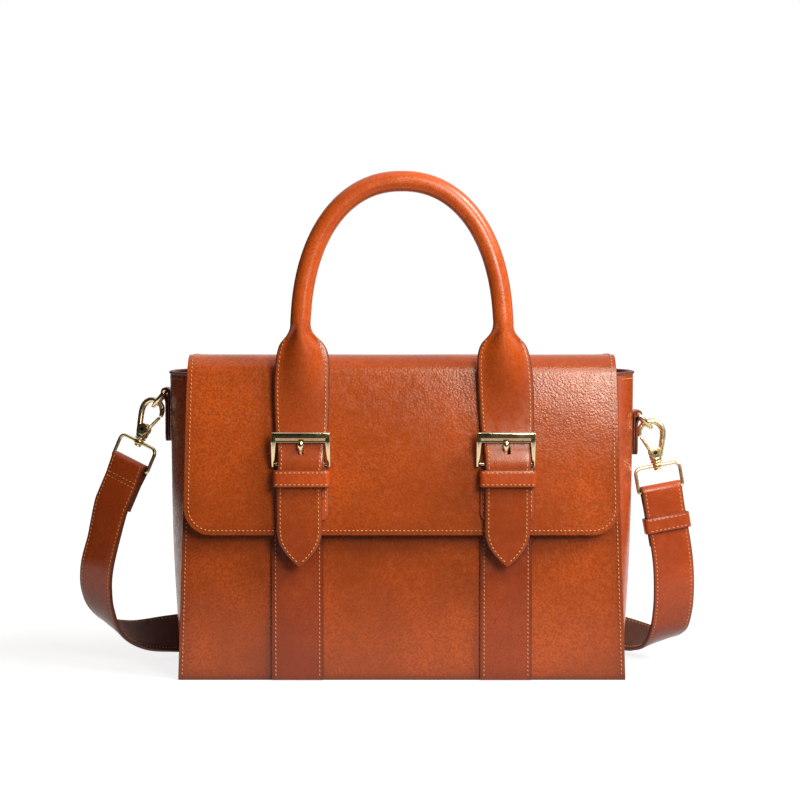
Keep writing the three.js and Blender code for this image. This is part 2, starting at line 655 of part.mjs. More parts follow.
function buildHandleStrap(hand, centre) {
  const pointHeight = (share) => POINT_TIP + (POINT_START - POINT_TIP) * share;
  const halfPoint = POINT_WIDTH / 2;
  const halfShoulder = SHOULDER_WIDTH / 2;
  const halfWidths = [
    [pointHeight(0), 0.05 * halfPoint], [pointHeight(0.08), 0.24 * halfPoint],
    [pointHeight(0.3), 0.54 * halfPoint], [pointHeight(0.55), 0.78 * halfPoint],
    [pointHeight(0.8), 0.93 * halfPoint], [pointHeight(1), halfPoint], [BUCKLE_TOP, halfPoint],
    [(BUCKLE_TOP + NECK_HEIGHT - SHOULDER_DROP) / 2, 0.95 * halfShoulder],
    [NECK_HEIGHT - SHOULDER_DROP, halfShoulder], [NECK_HEIGHT - 0.62 * SHOULDER_DROP, 0.94 * halfShoulder],
    [HANDLE_STRAP_TOP, NECK_WIDTH / 2],
  ];
  const padding = [
    [(BUCKLE_TOP + NECK_HEIGHT - PAD_DROP) / 2, 0], [NECK_HEIGHT - PAD_DROP, 0.2],
    [NECK_HEIGHT - 0.46 * PAD_DROP, 0.81], [HANDLE_STRAP_TOP, 1],
  ];
  const margin = STRAP_LEATHER / 6;
  const sizes = ({ y: z }) => {
    const halfWidth = readOff(halfWidths, z);
    const share = readOff(padding, z);
    return {
      halfWidth,
      halfThickness: THREE.MathUtils.lerp(STRAP_LEATHER, NECK_THICKNESS, share) / 2,
      edge: STRAP_HALF - 0.8 * margin,
      margin: THREE.MathUtils.lerp(Math.min(margin, halfWidth / 2), halfWidth / 2, share),
    };
  };
  const curve = handleStrapLine();
  const whole = solid(strap(crosswise(curve.getSpacedPoints(34), centre, sizes)));
  const slotTop = TOP_BAR_BOTTOM - LEDGE_HEIGHT;
  const slotBottom = BAR_HEIGHT + PRONG_RADIUS;
  const slot = new THREE.BoxGeometry(SLOT_WIDTH, 6 * STRAP_LEATHER, slotTop - slotBottom);
  slot.translate(centre, STRAP_OVER_BAR, (slotTop + slotBottom) / 2);
  addPiece(bag, `${hand}_handle_strap`, geometryOf(whole.subtract(solid(slot))), 'leather');
}

// Buckle, chape and keeper

function buildChape(hand, centre) {
  const steps = 8;
  const turn = Array.from({ length: steps + 1 }, (_, k) => {
    const angle = Math.PI * (k / steps);
    return [BAR_Y + CHAPE_TURN * Math.cos(angle), BAR_HEIGHT + CHAPE_TURN * Math.sin(angle)];
  });
  const under = CHAPE_Y - THIN_LEATHER - GAP;
  const corner = CHAPE_WIDTH / 7;
  const line = [
    [CHAPE_Y, CHAPE_BOTTOM], [CHAPE_Y, CHAPE_BOTTOM + corner * 0.3], [CHAPE_Y, CHAPE_BOTTOM + corner],
    [CHAPE_Y, KEEPER_TOP - 1], [CHAPE_Y, KEEPER_TOP + 0.4], ...turn,
    [BAR_Y - CHAPE_TURN + 1.4, KEEPER_TOP - 1], [under - 0.2, KEEPER_BOTTOM + 2], [under, CHAPE_RETURN],
  ];
  const rising = line.length - steps - 4;
  const sizes = (point, share) => {
    const onReturn = Math.round(share * (line.length - 1)) >= rising;
    const rounding = Math.max(0, 1 - (point.y - CHAPE_BOTTOM) / corner);
    const body = CHAPE_WIDTH / 2 - corner * (1 - Math.sqrt(1 - rounding ** 2));
    return flatSection(onReturn ? CHAPE_TONGUE / 2 : body, THIN_LEATHER);
  };
  const points = line.map(([y, z]) => new THREE.Vector2(y, z));
  const whole = solid(strap(crosswise(points, centre, sizes)));
  const slotWidth = PRONG_EYE_WIDTH + 4 * GAP;
  const slotHeight = 2 * CHAPE_TURN + THIN_LEATHER + PRONG_RADIUS;
  const slot = new THREE.BoxGeometry(slotWidth, 4 * CHAPE_TURN, slotHeight).translate(centre, BAR_Y, BAR_HEIGHT);
  addPiece(bag, `${hand}_chape`, geometryOf(whole.subtract(solid(slot))), 'leather');
}

function buildKeeper(hand, centre) {
  const half = KEEPER_WIDTH / 2;
  const front = STRAP_OVER_BAR - STRAP_HALF - 2 * GAP - THIN_LEATHER;
  const foot = FLAP_FRONT - GAP;
  const inner = half - THIN_LEATHER;
  const round = 2 * THIN_LEATHER;
  const shape = new THREE.Shape();
  shape.moveTo(-half, foot);
  shape.lineTo(-half, front + round);
  shape.absarc(-half + round, front + round, round, Math.PI, 1.5 * Math.PI);
  shape.absarc(half - round, front + round, round, 1.5 * Math.PI, 2 * Math.PI);
  shape.lineTo(half, foot);
  shape.lineTo(inner, foot);
  shape.absarc(half - round, front + round, round - THIN_LEATHER, 0, -Math.PI / 2, true);
  shape.absarc(-half + round, front + round, round - THIN_LEATHER, -Math.PI / 2, -Math.PI, true);
  shape.lineTo(-inner, foot);
  const depth = KEEPER_TOP - KEEPER_BOTTOM;
  const loop = new THREE.ExtrudeGeometry(shape, { depth, bevelEnabled: false, curveSegments: 4 });
  addPiece(bag, `${hand}_keeper`, loop.translate(centre, 0, KEEPER_BOTTOM), 'leather');
}

function buildBuckle(hand, centre) {
  const half = BUCKLE_WIDTH / 2;
  const arm = [
    [BAR_Y + FOOT_DEPTH / 2, BUCKLE_FOOT], [BAR_Y - FOOT_DEPTH / 2, BUCKLE_FOOT],
    [TOP_BAR_FRONT, TOP_BAR_BOTTOM], [TOP_BAR_FRONT + 0.3 * BAR_CHAMFER, BUCKLE_TOP - 0.6 * BAR_CHAMFER],
    [TOP_BAR_FRONT + BAR_CHAMFER, BUCKLE_TOP],
    [TOP_BAR_BACK, BUCKLE_TOP], [TOP_BAR_BACK, TOP_BAR_BOTTOM - LEDGE_HEIGHT],
  ];
  // The sides taper towards the feet.
  const taper = (geometry, outer) => {
    const position = geometry.attributes.position;
    for (let k = 0; k < position.count; k += 1) {
      const share = (position.getZ(k) - BUCKLE_FOOT) / (BUCKLE_TOP - BUCKLE_FOOT);
      const width = THREE.MathUtils.lerp(FOOT_TAPER, 1, THREE.MathUtils.clamp(share, 0, 1));
      position.setX(k, outer + (position.getX(k) - outer) * width);
    }
    return geometry;
  };
  const topBar = [
    [TOP_BAR_BACK, TOP_BAR_BOTTOM - LEDGE_HEIGHT], [LEDGE_FRONT, TOP_BAR_BOTTOM - LEDGE_HEIGHT],
    [LEDGE_FRONT, TOP_BAR_BOTTOM], [TOP_BAR_FRONT, TOP_BAR_BOTTOM],
    [TOP_BAR_FRONT + 0.3 * BAR_CHAMFER, BUCKLE_TOP - 0.6 * BAR_CHAMFER],
    [TOP_BAR_FRONT + BAR_CHAMFER, BUCKLE_TOP], [TOP_BAR_BACK, BUCKLE_TOP],
  ];
  const frame = joined(
    taper(alongX(arm, centre - half, centre - half + BUCKLE_SIDE), centre - half),
    taper(alongX(arm, centre + half - BUCKLE_SIDE, centre + half), centre + half),
    alongX(topBar, centre - half + BUCKLE_SIDE / 2, centre + half - BUCKLE_SIDE / 2),
    rod('x', BAR_RADIUS, BUCKLE_WIDTH - BUCKLE_SIDE, [centre, BAR_Y, BAR_HEIGHT]),
  );
  addPiece(bag, `${hand}_buckle_frame`, geometryOf(frame), 'brass');

  const eyeBore = BAR_RADIUS + GAP;
  const eyeRadius = eyeBore + PRONG_EYE_WALL;
  const tipY = LEDGE_FRONT - 2 * GAP - PRONG_RADIUS;
  const tipZ = TOP_BAR_BOTTOM - GAP;
  const spine = new THREE.SplineCurve([
    new THREE.Vector2(BAR_Y - eyeBore / 2, BAR_HEIGHT + eyeRadius - PRONG_EYE_WALL / 2),
    new THREE.Vector2(BAR_Y - 0.4 * (BAR_Y - tipY), BAR_HEIGHT + 0.5 * (tipZ - BAR_HEIGHT)),
    new THREE.Vector2(tipY, tipZ - PRONG_RADIUS),
    new THREE.Vector2(tipY, tipZ),
  ]);
  const taperOff = (share) => {
    const radius = share > 0.92 ? PRONG_RADIUS * 0.6 : PRONG_RADIUS;
    return [radius, radius];
  };
  const tongue = wire(spine.getSpacedPoints(12).map(({ x, y }) => [x, y]), taperOff, 8);
  tongue.rotateZ(Math.PI / 2).translate(centre, 0, 0);
  const prong = joined(rod('x', eyeRadius, PRONG_EYE_WIDTH, [centre, BAR_Y, BAR_HEIGHT]), tongue)
    .subtract(solid(rod('x', eyeBore, 2 * PRONG_EYE_WIDTH, [centre, BAR_Y, BAR_HEIGHT])));
  addPiece(bag, `${hand}_buckle_prong`, geometryOf(prong), 'brass');
}

// Ring tabs, rings and snap hooks

/** Where a clasp's ring turns, where its bow hangs and how the clasp stands. */
function claspFrame({ side, ringDrop, tabLength, tail, droop, tilt, turn }) {
  const height = BODY_HEIGHT - ringDrop;
  const wall = gussetX(height, 0) + LEATHER / 2;
  const pivot = vec(side * (wall + GAP + THIN_LEATHER + GAP + RING_WIRE), 0, height);
  const out = vec(side * Math.cos(radians(droop)), 0, -Math.sin(radians(droop)));
  const rotation = new THREE.Euler(0, radians(tilt), radians(turn), 'YXZ');
  const hang = EYE_RADIUS - CLAW_HALF_WIDTH - GAP - RING_WIRE - RING_PLAY;
  const up = vec(0, 0, 1).applyEuler(rotation);
  const eye = pivot.clone().addScaledVector(out, RING_DEPTH).addScaledVector(up, -hang);
  const place = new THREE.Matrix4().makeRotationFromEuler(rotation).setPosition(eye);
  return { side, wall, pivot, out, rotation, eye, place, tabLength, tail };
}

function buildRing(hand, { side, wall, pivot, out, tabLength }) {
  const steps = 8;
  const turnRadius = RING_WIRE + GAP + THIN_LEATHER / 2;
  const inX = wall + GAP + THIN_LEATHER / 2;
  const outX = inX + THIN_LEATHER + GAP;
  const centreX = Math.abs(pivot.x);
  const turn = Array.from({ length: steps + 1 }, (_, k) => {
    const angle = Math.PI * (1 - k / steps);
    return [centreX + turnRadius * Math.cos(angle), pivot.z + turnRadius * Math.sin(angle)];
  });
  const bottom = pivot.z - tabLength;
  const line = [
    [inX, bottom], [inX, bottom + TAB_CORNER * 0.3], [inX, bottom + TAB_CORNER], ...turn,
    [(outX + centreX + turnRadius) / 2, pivot.z - tabLength / 4], [outX, pivot.z - tabLength / 2],
    [outX, bottom + TAB_CORNER], [outX, bottom + TAB_CORNER * 0.3], [outX, bottom],
  ];
  const last = line.length - 1;
  const stations = line.map(([x, z], k) => {
    const before = line[Math.max(k - 1, 0)];
    const after = line[Math.min(k + 1, last)];
    const tangent = new THREE.Vector2(after[0] - before[0], after[1] - before[1]).normalize();
    const rounding = Math.max(0, 1 - (z - bottom) / TAB_CORNER);
    const halfWidth = TAB_WIDTH / 2 - TAB_CORNER * (1 - Math.sqrt(1 - rounding ** 2));
    return {
      at: vec(side * x, 0, z),
      side: vec(0, 1, 0),
      face: vec(side * tangent.y, 0, -tangent.x),
      ...flatSection(halfWidth, THIN_LEATHER),
    };
  });
  addPiece(bag, `${hand}_ring_tab`, strap(stations), 'leather');

  const path = new THREE.Path();
  path.moveTo(0, 0);
  path.lineTo(RING_HALF_WIDTH - RING_CORNER, 0);
  path.absarc(RING_HALF_WIDTH - RING_CORNER, RING_CORNER, RING_CORNER, -Math.PI / 2, 0);
  path.absarc(0, RING_DEPTH - RING_HALF_WIDTH, RING_HALF_WIDTH, 0, Math.PI);
  path.absarc(-RING_HALF_WIDTH + RING_CORNER, RING_CORNER, RING_CORNER, Math.PI, 1.5 * Math.PI);
  path.lineTo(0, 0);
  const bow = path.getSpacedPoints(32).slice(1).map(({ x, y }) => [x, y]);
  const ring = addPiece(bag, `${hand}_d_ring`, wire(bow, () => [RING_WIRE, RING_WIRE], 8, true), 'brass');
  const across = vec(0, 1, 0);
  const basis = new THREE.Matrix4().makeBasis(across, out.clone().cross(across), out);
  ring.quaternion.setFromRotationMatrix(basis);
  ring.position.copy(pivot);
}

/** The claw's centre line in x and z, from the barrel up and round the eye to its tip. */
function clawLine() {
  const root = new THREE.SplineCurve([
    new THREE.Vector2(0.38 * EYE_RADIUS, PIVOT_Z - NECK_WALL), new THREE.Vector2(0.7 * EYE_RADIUS, 0.75 * PIVOT_Z),
    new THREE.Vector2(0.93 * EYE_RADIUS, 0.35 * PIVOT_Z), new THREE.Vector2(EYE_RADIUS, 0),
  ]);
  const steps = 14;
  const bight = Array.from({ length: steps }, (_, k) => {
    const angle = radians((CLAW_END * (k + 1)) / steps);
    return [EYE_RADIUS * Math.cos(angle), EYE_RADIUS * Math.sin(angle)];
  });
  return [...root.getPoints(7).map(({ x, y }) => [x, y]), ...bight];
}

function hookBody() {
  const clawSize = (share) => {
    const tip = THREE.MathUtils.clamp((1 - share) / 0.25, 0.55, 1);
    return [CLAW_HALF_WIDTH * tip, CLAW_HALF_DEPTH * tip];
  };
  const neckTop = PIVOT_Z - BARREL_RADIUS / 2;
  const postLength = NECK_BOTTOM - KNOB_TOP + KNOB_HEIGHT / 2;
  const knob = new THREE.SphereGeometry(KNOB_RADIUS, 12, 6).scale(1, 1, KNOB_HEIGHT / 2 / KNOB_RADIUS);
  return joined(
    wire(clawLine(), clawSize, 8),
    rod('y', BARREL_RADIUS, 2 * BARREL_HALF_DEPTH, [0, 0, PIVOT_Z], 16),
    rod('z', BARREL_RADIUS - GAP, neckTop - NECK_BOTTOM, [0, 0, (neckTop + NECK_BOTTOM) / 2], 12),
    rod('z', POST_RADIUS, postLength + NECK_WALL, [0, 0, NECK_BOTTOM + (NECK_WALL - postLength) / 2], 12),
    knob.translate(0, 0, KNOB_TOP - KNOB_HEIGHT / 2),
  ).subtract(solid(rod('y', SLOT_RADIUS, 2 * (GATE_HALF_DEPTH + GAP), [0, 0, PIVOT_Z], 18)))
    .subtract(solid(rod('y', PIN_RADIUS + GAP, 4 * BARREL_HALF_DEPTH, [0, 0, PIVOT_Z], 12)));
}

function hookGate() {
  const reach = Math.hypot(GATE_TIP_X, GATE_TIP_Z - PIVOT_Z);
  const line = Array.from({ length: 7 }, (_, k) => {
    const share = k / 6;
    return [GATE_TIP_X * share, PIVOT_Z + (GATE_TIP_Z - PIVOT_Z) * share];
  });
  const eyeRadius = BARREL_RADIUS - 2 * GAP;
  const size = (share) => [
    THREE.MathUtils.lerp(GATE_HALF_WIDTH * 1.4, GATE_HALF_WIDTH * 0.85, share),
    share * reach > SLOT_RADIUS + GAP ? GATE_HALF_DEPTH * 1.5 : GATE_HALF_DEPTH,
  ];
  return joined(wire(line, size, 8), rod('y', eyeRadius, 2 * GATE_HALF_DEPTH, [0, 0, PIVOT_Z], 20))
    .subtract(solid(rod('y', PIN_RADIUS + GAP, 4 * GATE_HALF_DEPTH, [0, 0, PIVOT_Z], 12)));
}

/** A leaf bent from the claw's root to the inner side of the gate. */
function gateSpring() {
  const gate = new THREE.Vector2(GATE_TIP_X, GATE_TIP_Z - PIVOT_Z).normalize();
  const lift = SLOT_RADIUS + 0.67 * SPRING_REACH;
  const off = GATE_HALF_WIDTH * 1.3 + GAP + SPRING_THICKNESS / 2;
  const tip = new THREE.Vector2(gate.x * lift + gate.y * off, PIVOT_Z + gate.y * lift - gate.x * off);
  const root = new THREE.Vector2(tip.x + SPRING_REACH, tip.y - 0.39 * SPRING_REACH);
  const middle = new THREE.Vector2(tip.x + 0.47 * SPRING_REACH, tip.y + 0.14 * SPRING_REACH);
  const leaf = new THREE.SplineCurve([root, middle, tip]).getSpacedPoints(6);
  const stations = leaf.map((point, k) => {
    const tangent = leaf[Math.min(k + 1, 6)].clone().sub(leaf[Math.max(k - 1, 0)]).normalize();
    const at = vec(point.x, 0, point.y);
    const face = vec(tangent.y, 0, -tangent.x);
    return { at, side: vec(0, 1, 0), face, ...flatSection(SPRING_WIDTH / 2, SPRING_THICKNESS) };
  });
  return strap(stations);
}

function gatePin() {
  const end = BARREL_HALF_DEPTH + GAP;
  const profile = [
    [0, -end - PIN_HEAD], [PIN_HEAD_RADIUS * 0.7, -end - PIN_HEAD], [PIN_HEAD_RADIUS, -end], [PIN_RADIUS, -end],
    [PIN_RADIUS, end], [PIN_HEAD_RADIUS, end], [PIN_HEAD_RADIUS * 0.7, end + PIN_HEAD], [0, end + PIN_HEAD],
  ];
  return turned(profile, 14).translate(0, 0, PIVOT_Z);
}

function swivelLoop() {
  const halfWidth = LOOP_WIDTH / 2 - LOOP_WIRE;
  const path = new THREE.Path();
  const foot = halfWidth - SLING_HALF;
  const corner = (x, z, radius, from) => path.absarc(x, z, radius, from, from + Math.PI / 2);
  path.moveTo(0, LOOP_BOTTOM_BAR);
  path.lineTo(halfWidth - foot, LOOP_BOTTOM_BAR);
  corner(halfWidth - foot, LOOP_BOTTOM_BAR + foot, foot, -Math.PI / 2);
  corner(halfWidth - LOOP_CORNER, LOOP_TOP_BAR - LOOP_CORNER, LOOP_CORNER, 0);
  corner(-halfWidth + LOOP_CORNER, LOOP_TOP_BAR - LOOP_CORNER, LOOP_CORNER, Math.PI / 2);
  corner(-halfWidth + foot, LOOP_BOTTOM_BAR + foot, foot, Math.PI);
  path.lineTo(0, LOOP_BOTTOM_BAR);
  const line = path.getSpacedPoints(38).slice(1).map(({ x, y }) => [x, y]);
  return joined(
    wire(line, () => [LOOP_WIRE, LOOP_WIRE], 7, true),
    rod('z', COLLAR_RADIUS, COLLAR_HEIGHT, [0, 0, LOOP_TOP_BAR], 16),
  ).subtract(solid(rod('z', POST_RADIUS + GAP, 2 * COLLAR_HEIGHT, [0, 0, LOOP_TOP_BAR], 12)));
}

function buildClasp(hand, frame) {
  const clasp = new THREE.Group();
  clasp.rotation.copy(frame.rotation);
  clasp.position.copy(frame.eye);
  bag.add(clasp);
  addPiece(clasp, `${hand}_swivel_loop`, geometryOf(swivelLoop()), 'brass');
  const hook = new THREE.Group();
  // The gate looks towards the body on both sides.
  hook.rotation.z = frame.side < 0 ? Math.PI : 0;
  clasp.add(hook);
  addPiece(hook, `${hand}_hook_body`, geometryOf(hookBody()), 'brass');
  addPiece(hook, `${hand}_hook_gate`, geometryOf(hookGate()), 'brass');
  addPiece(hook, `${hand}_gate_pin`, gatePin(), 'brass');
  addPiece(hook, `${hand}_gate_spring`, gateSpring(), 'steel');
}

// Shoulder strap

/** A strap end in its clasp's frame: tail up the back, over the loop's lower bar, down the front. */
function strapEnd({ place, rotation, tail }) {
  const steps = 6;
  const turn = Array.from({ length: steps + 1 }, (_, k) => {
    const angle = Math.PI * (k / steps);
    return [FOLD_TURN * Math.cos(angle), FOLD_TURN * Math.sin(angle)];
  });
  const line = [
    [LAYER_Y, -tail], [LAYER_Y, -FOLD_NECK], ...turn,
    [-LAYER_Y, -FOLD_NECK], [-LAYER_Y, -(tail + FOLD_NECK) / 2], [-LAYER_Y, -tail],
  ];
  const last = line.length - 1;
  return line.map(([y, z], k) => {
    const before = line[Math.max(k - 1, 0)];
    const after = line[Math.min(k + 1, last)];
    const tangent = new THREE.Vector2(after[0] - before[0], after[1] - before[1]).normalize();
    return {
      at: vec(0, y, z + LOOP_BOTTOM_BAR).applyMatrix4(place),
      side: vec(1, 0, 0).applyEuler(rotation),
      face: vec(0, tangent.y, -tangent.x).applyEuler(rotation),
    };
  });
}

/** The strap's stations, with faces squared to the run and sides crosswise to both. */
function strapStations(leftFrame, rightFrame) {
  const left = strapEnd(leftFrame);
  const right = strapEnd(rightFrame).reverse();
  // The curve starts and ends inside the folded ends, so that it leaves them straight.
  const knots = [
    left.at(-2), left.at(-1),
    ...STRAP_RUN.map(({ at, face }) => ({ at: vec(...at), face: vec(...face) })),
    right[0], right[1],
  ];
  const curve = new THREE.CatmullRomCurve3(knots.map(({ at }) => at), false, 'centripetal');
  const run = [];
  for (let k = 1; k < RUN_STEPS; k += 1) {
    const place = 1 + (k / RUN_STEPS) * (knots.length - 3);
    const from = Math.floor(place);
    const face = knots[from].face.clone().lerp(knots[from + 1].face, place - from);
    const share = place / (knots.length - 1);
    const at = curve.getPoint(share);
    const tangent = curve.getTangent(share);
    face.addScaledVector(tangent, -face.dot(tangent)).normalize();
    run.push({ at, face, side: face.clone().cross(tangent) });
  }
  return [...left, ...run, ...right];
}

function buildShoulderStrap(frames) {
  const section = flatSection(SLING_HALF, SLING_LEATHER);
  const stations = strapStations(frames.left, frames.right).map((station) => ({ ...station, ...section }));
  addPiece(bag, 'shoulder_strap', strap(stations), 'leather');

  const innerX = SLING_HALF + SLIDER_PLAY;
  const innerY = LAYER_Y + SLING_LEATHER / 2 + SLIDER_PLAY;
  const frame = (x, y) => [[-x, -y], [x, -y], [x, y], [-x, y]].map(([u, v]) => new THREE.Vector2(u, v));
  const shape = new THREE.Shape(frame(innerX + SLIDER_LEATHER, innerY + SLIDER_LEATHER));
  shape.holes.push(new THREE.Path(frame(innerX, innerY)));
  const slider = new THREE.ExtrudeGeometry(shape, { depth: SLIDER_HEIGHT, bevelEnabled: false });
  slider.translate(0, 0, LOOP_BOTTOM_BAR - SLIDER_DROP - SLIDER_HEIGHT / 2);
  const holder = new THREE.Group();
  holder.rotation.copy(frames.right.rotation);
  holder.position.copy(frames.right.eye);
  bag.add(holder);
  addPiece(holder, 'strap_keeper', slider, 'leather');
}

// Assembly

buildBody();
buildFlap();
buildHandle();
const frames = {};
for (const [hand, stance] of Object.entries(CLASPS)) {
  const { side } = stance;
  const centre = side * STRAP_CENTRE;
  frames[hand] = claspFrame(stance);
  addPiece(bag, `${hand}_gusset`, gusset(side), 'leather');
  buildFrontStrap(hand, side);
  buildSnapStud(hand, centre);
  buildHandleStrap(hand, centre);
  buildChape(hand, centre);
  buildKeeper(hand, centre);
  buildBuckle(hand, centre);
  buildRing(hand, frames[hand]);
  buildClasp(hand, frames[hand]);
}
buildShoulderStrap(frames);

export default bag;
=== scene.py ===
"""A cognac leather satchel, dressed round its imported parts.

Lengths in the classes are millimetres, and every mesh is in metres. +Z is up and the front faces -Y.
"""
import logging
import math
from bisect import bisect_right
from dataclasses import dataclass
from enum import Enum
from typing import Callable, Optional, Sequence

import bmesh
import bpy
from mathutils import Matrix, Vector, noise


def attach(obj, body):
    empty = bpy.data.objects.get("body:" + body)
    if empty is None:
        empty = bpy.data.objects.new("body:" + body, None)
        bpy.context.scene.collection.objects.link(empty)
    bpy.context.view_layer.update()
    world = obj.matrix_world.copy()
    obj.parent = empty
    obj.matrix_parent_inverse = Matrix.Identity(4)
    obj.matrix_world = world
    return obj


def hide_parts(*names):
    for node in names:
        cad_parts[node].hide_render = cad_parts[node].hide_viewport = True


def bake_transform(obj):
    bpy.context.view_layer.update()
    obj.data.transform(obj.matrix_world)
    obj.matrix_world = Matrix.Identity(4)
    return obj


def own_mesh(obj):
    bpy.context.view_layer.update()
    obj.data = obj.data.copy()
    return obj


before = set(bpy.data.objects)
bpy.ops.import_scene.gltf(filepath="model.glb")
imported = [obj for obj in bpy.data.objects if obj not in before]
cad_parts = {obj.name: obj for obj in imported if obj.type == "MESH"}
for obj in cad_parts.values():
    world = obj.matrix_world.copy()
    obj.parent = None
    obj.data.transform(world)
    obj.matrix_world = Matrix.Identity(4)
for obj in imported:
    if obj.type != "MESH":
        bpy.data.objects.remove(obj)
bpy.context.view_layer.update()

MM = 0.001
LOG = logging.getLogger("satchel")

Place = Callable[[float, float], Vector]
Seam = list[tuple[Vector, Vector]]


class Hand(Enum):
    """The bag's left and right as the viewer sees them."""

    LEFT = -1
    RIGHT = 1

    @property
    def word(self) -> str:
        """The word that starts a left or right part's name."""
        return self.name.lower()


class Face(Enum):
    """Which finish of a leather strip a face takes."""

    GRAIN = 0
    EDGE = 1
    FLESH = 2


def mm(x: float, y: float, z: float) -> Vector:
    """A point given in millimetres."""
    return Vector((x, y, z)) * MM


def linear(code: str) -> tuple[float, float, float, float]:
    """Turns an sRGB hex colour to linear light.

    Args:
        code: Six hex digits after a hash sign.
    Returns:
        Red, green, blue and an alpha of 1.
    """
    shares = [int(code[k:k + 2], 16) / 255 for k in (1, 3, 5)]
    parts = [s / 12.92 if s <= 0.04045 else ((s + 0.055) / 1.055) ** 2.4 for s in shares]
    return parts[0], parts[1], parts[2], 1.0


def add_node(tree: bpy.types.NodeTree, kind: str, inputs: Optional[dict] = None, **settings) -> bpy.types.Node:
    """Adds a shader node with its settings and links.

    Args:
        tree: The material's or world's tree.
        kind: The node's type name.
        inputs: Values or sockets for its inputs, by name or number.
        settings: The node's own properties.
    Returns:
        The new node.
    """
    made = tree.nodes.new(kind)
    for key, value in settings.items():
        setattr(made, key, value)
    for key, value in (inputs or {}).items():
        if isinstance(value, bpy.types.NodeSocket):
            tree.links.new(value, made.inputs[key])
        else:
            made.inputs[key].default_value = value
    return made


def curve_through(table: Sequence[tuple[float, float]], at: float) -> float:
    """Reads a smooth line drawn through a short table.

    Args:
        table: Rising positions with their values.
        at: Where to read it.
    Returns:
        The value there, held at the ends.
    """
    places = [p for p, _ in table]
    if at <= places[0]:
        return table[0][1]
    if at >= places[-1]:
        return table[-1][1]
    k = bisect_right(places, at) - 1

    def slope(n: int) -> float:
        low, high = max(n - 1, 0), min(n + 1, len(table) - 1)
        return (table[high][1] - table[low][1]) / (table[high][0] - table[low][0])

    (x0, y0), (x1, y1) = table[k], table[k + 1]
    span = x1 - x0
    t = (at - x0) / span
    start = (2 * t ** 3 - 3 * t ** 2 + 1) * y0 + (t ** 3 - 2 * t ** 2 + t) * span * slope(k)
    return start + (3 * t ** 2 - 2 * t ** 3) * y1 + (t ** 3 - t ** 2) * span * slope(k + 1)


def smooth_step(low: float, high: float, value: float) -> float:
    """Rises smoothly from 0 at low to 1 at high."""
    t = min(max((value - low) / (high - low), 0.0), 1.0)
    return t * t * (3 - 2 * t)


def spread(low: float, high: float, count: int) -> list[float]:
    """Even values from low to high, both included."""
    return [low + (high - low) * k / (count - 1) for k in range(count)]


def arc(centre: tuple[float, float], radius: float, start: float, end: float, count: int) -> list[tuple[float, float]]:
    """Points on a circle's arc, with its angles in degrees."""
    angles = [math.radians(a) for a in spread(start, end, count)]
    return [(centre[0] + radius * math.cos(a), centre[1] + radius * math.sin(a)) for a in angles]


# Finishes


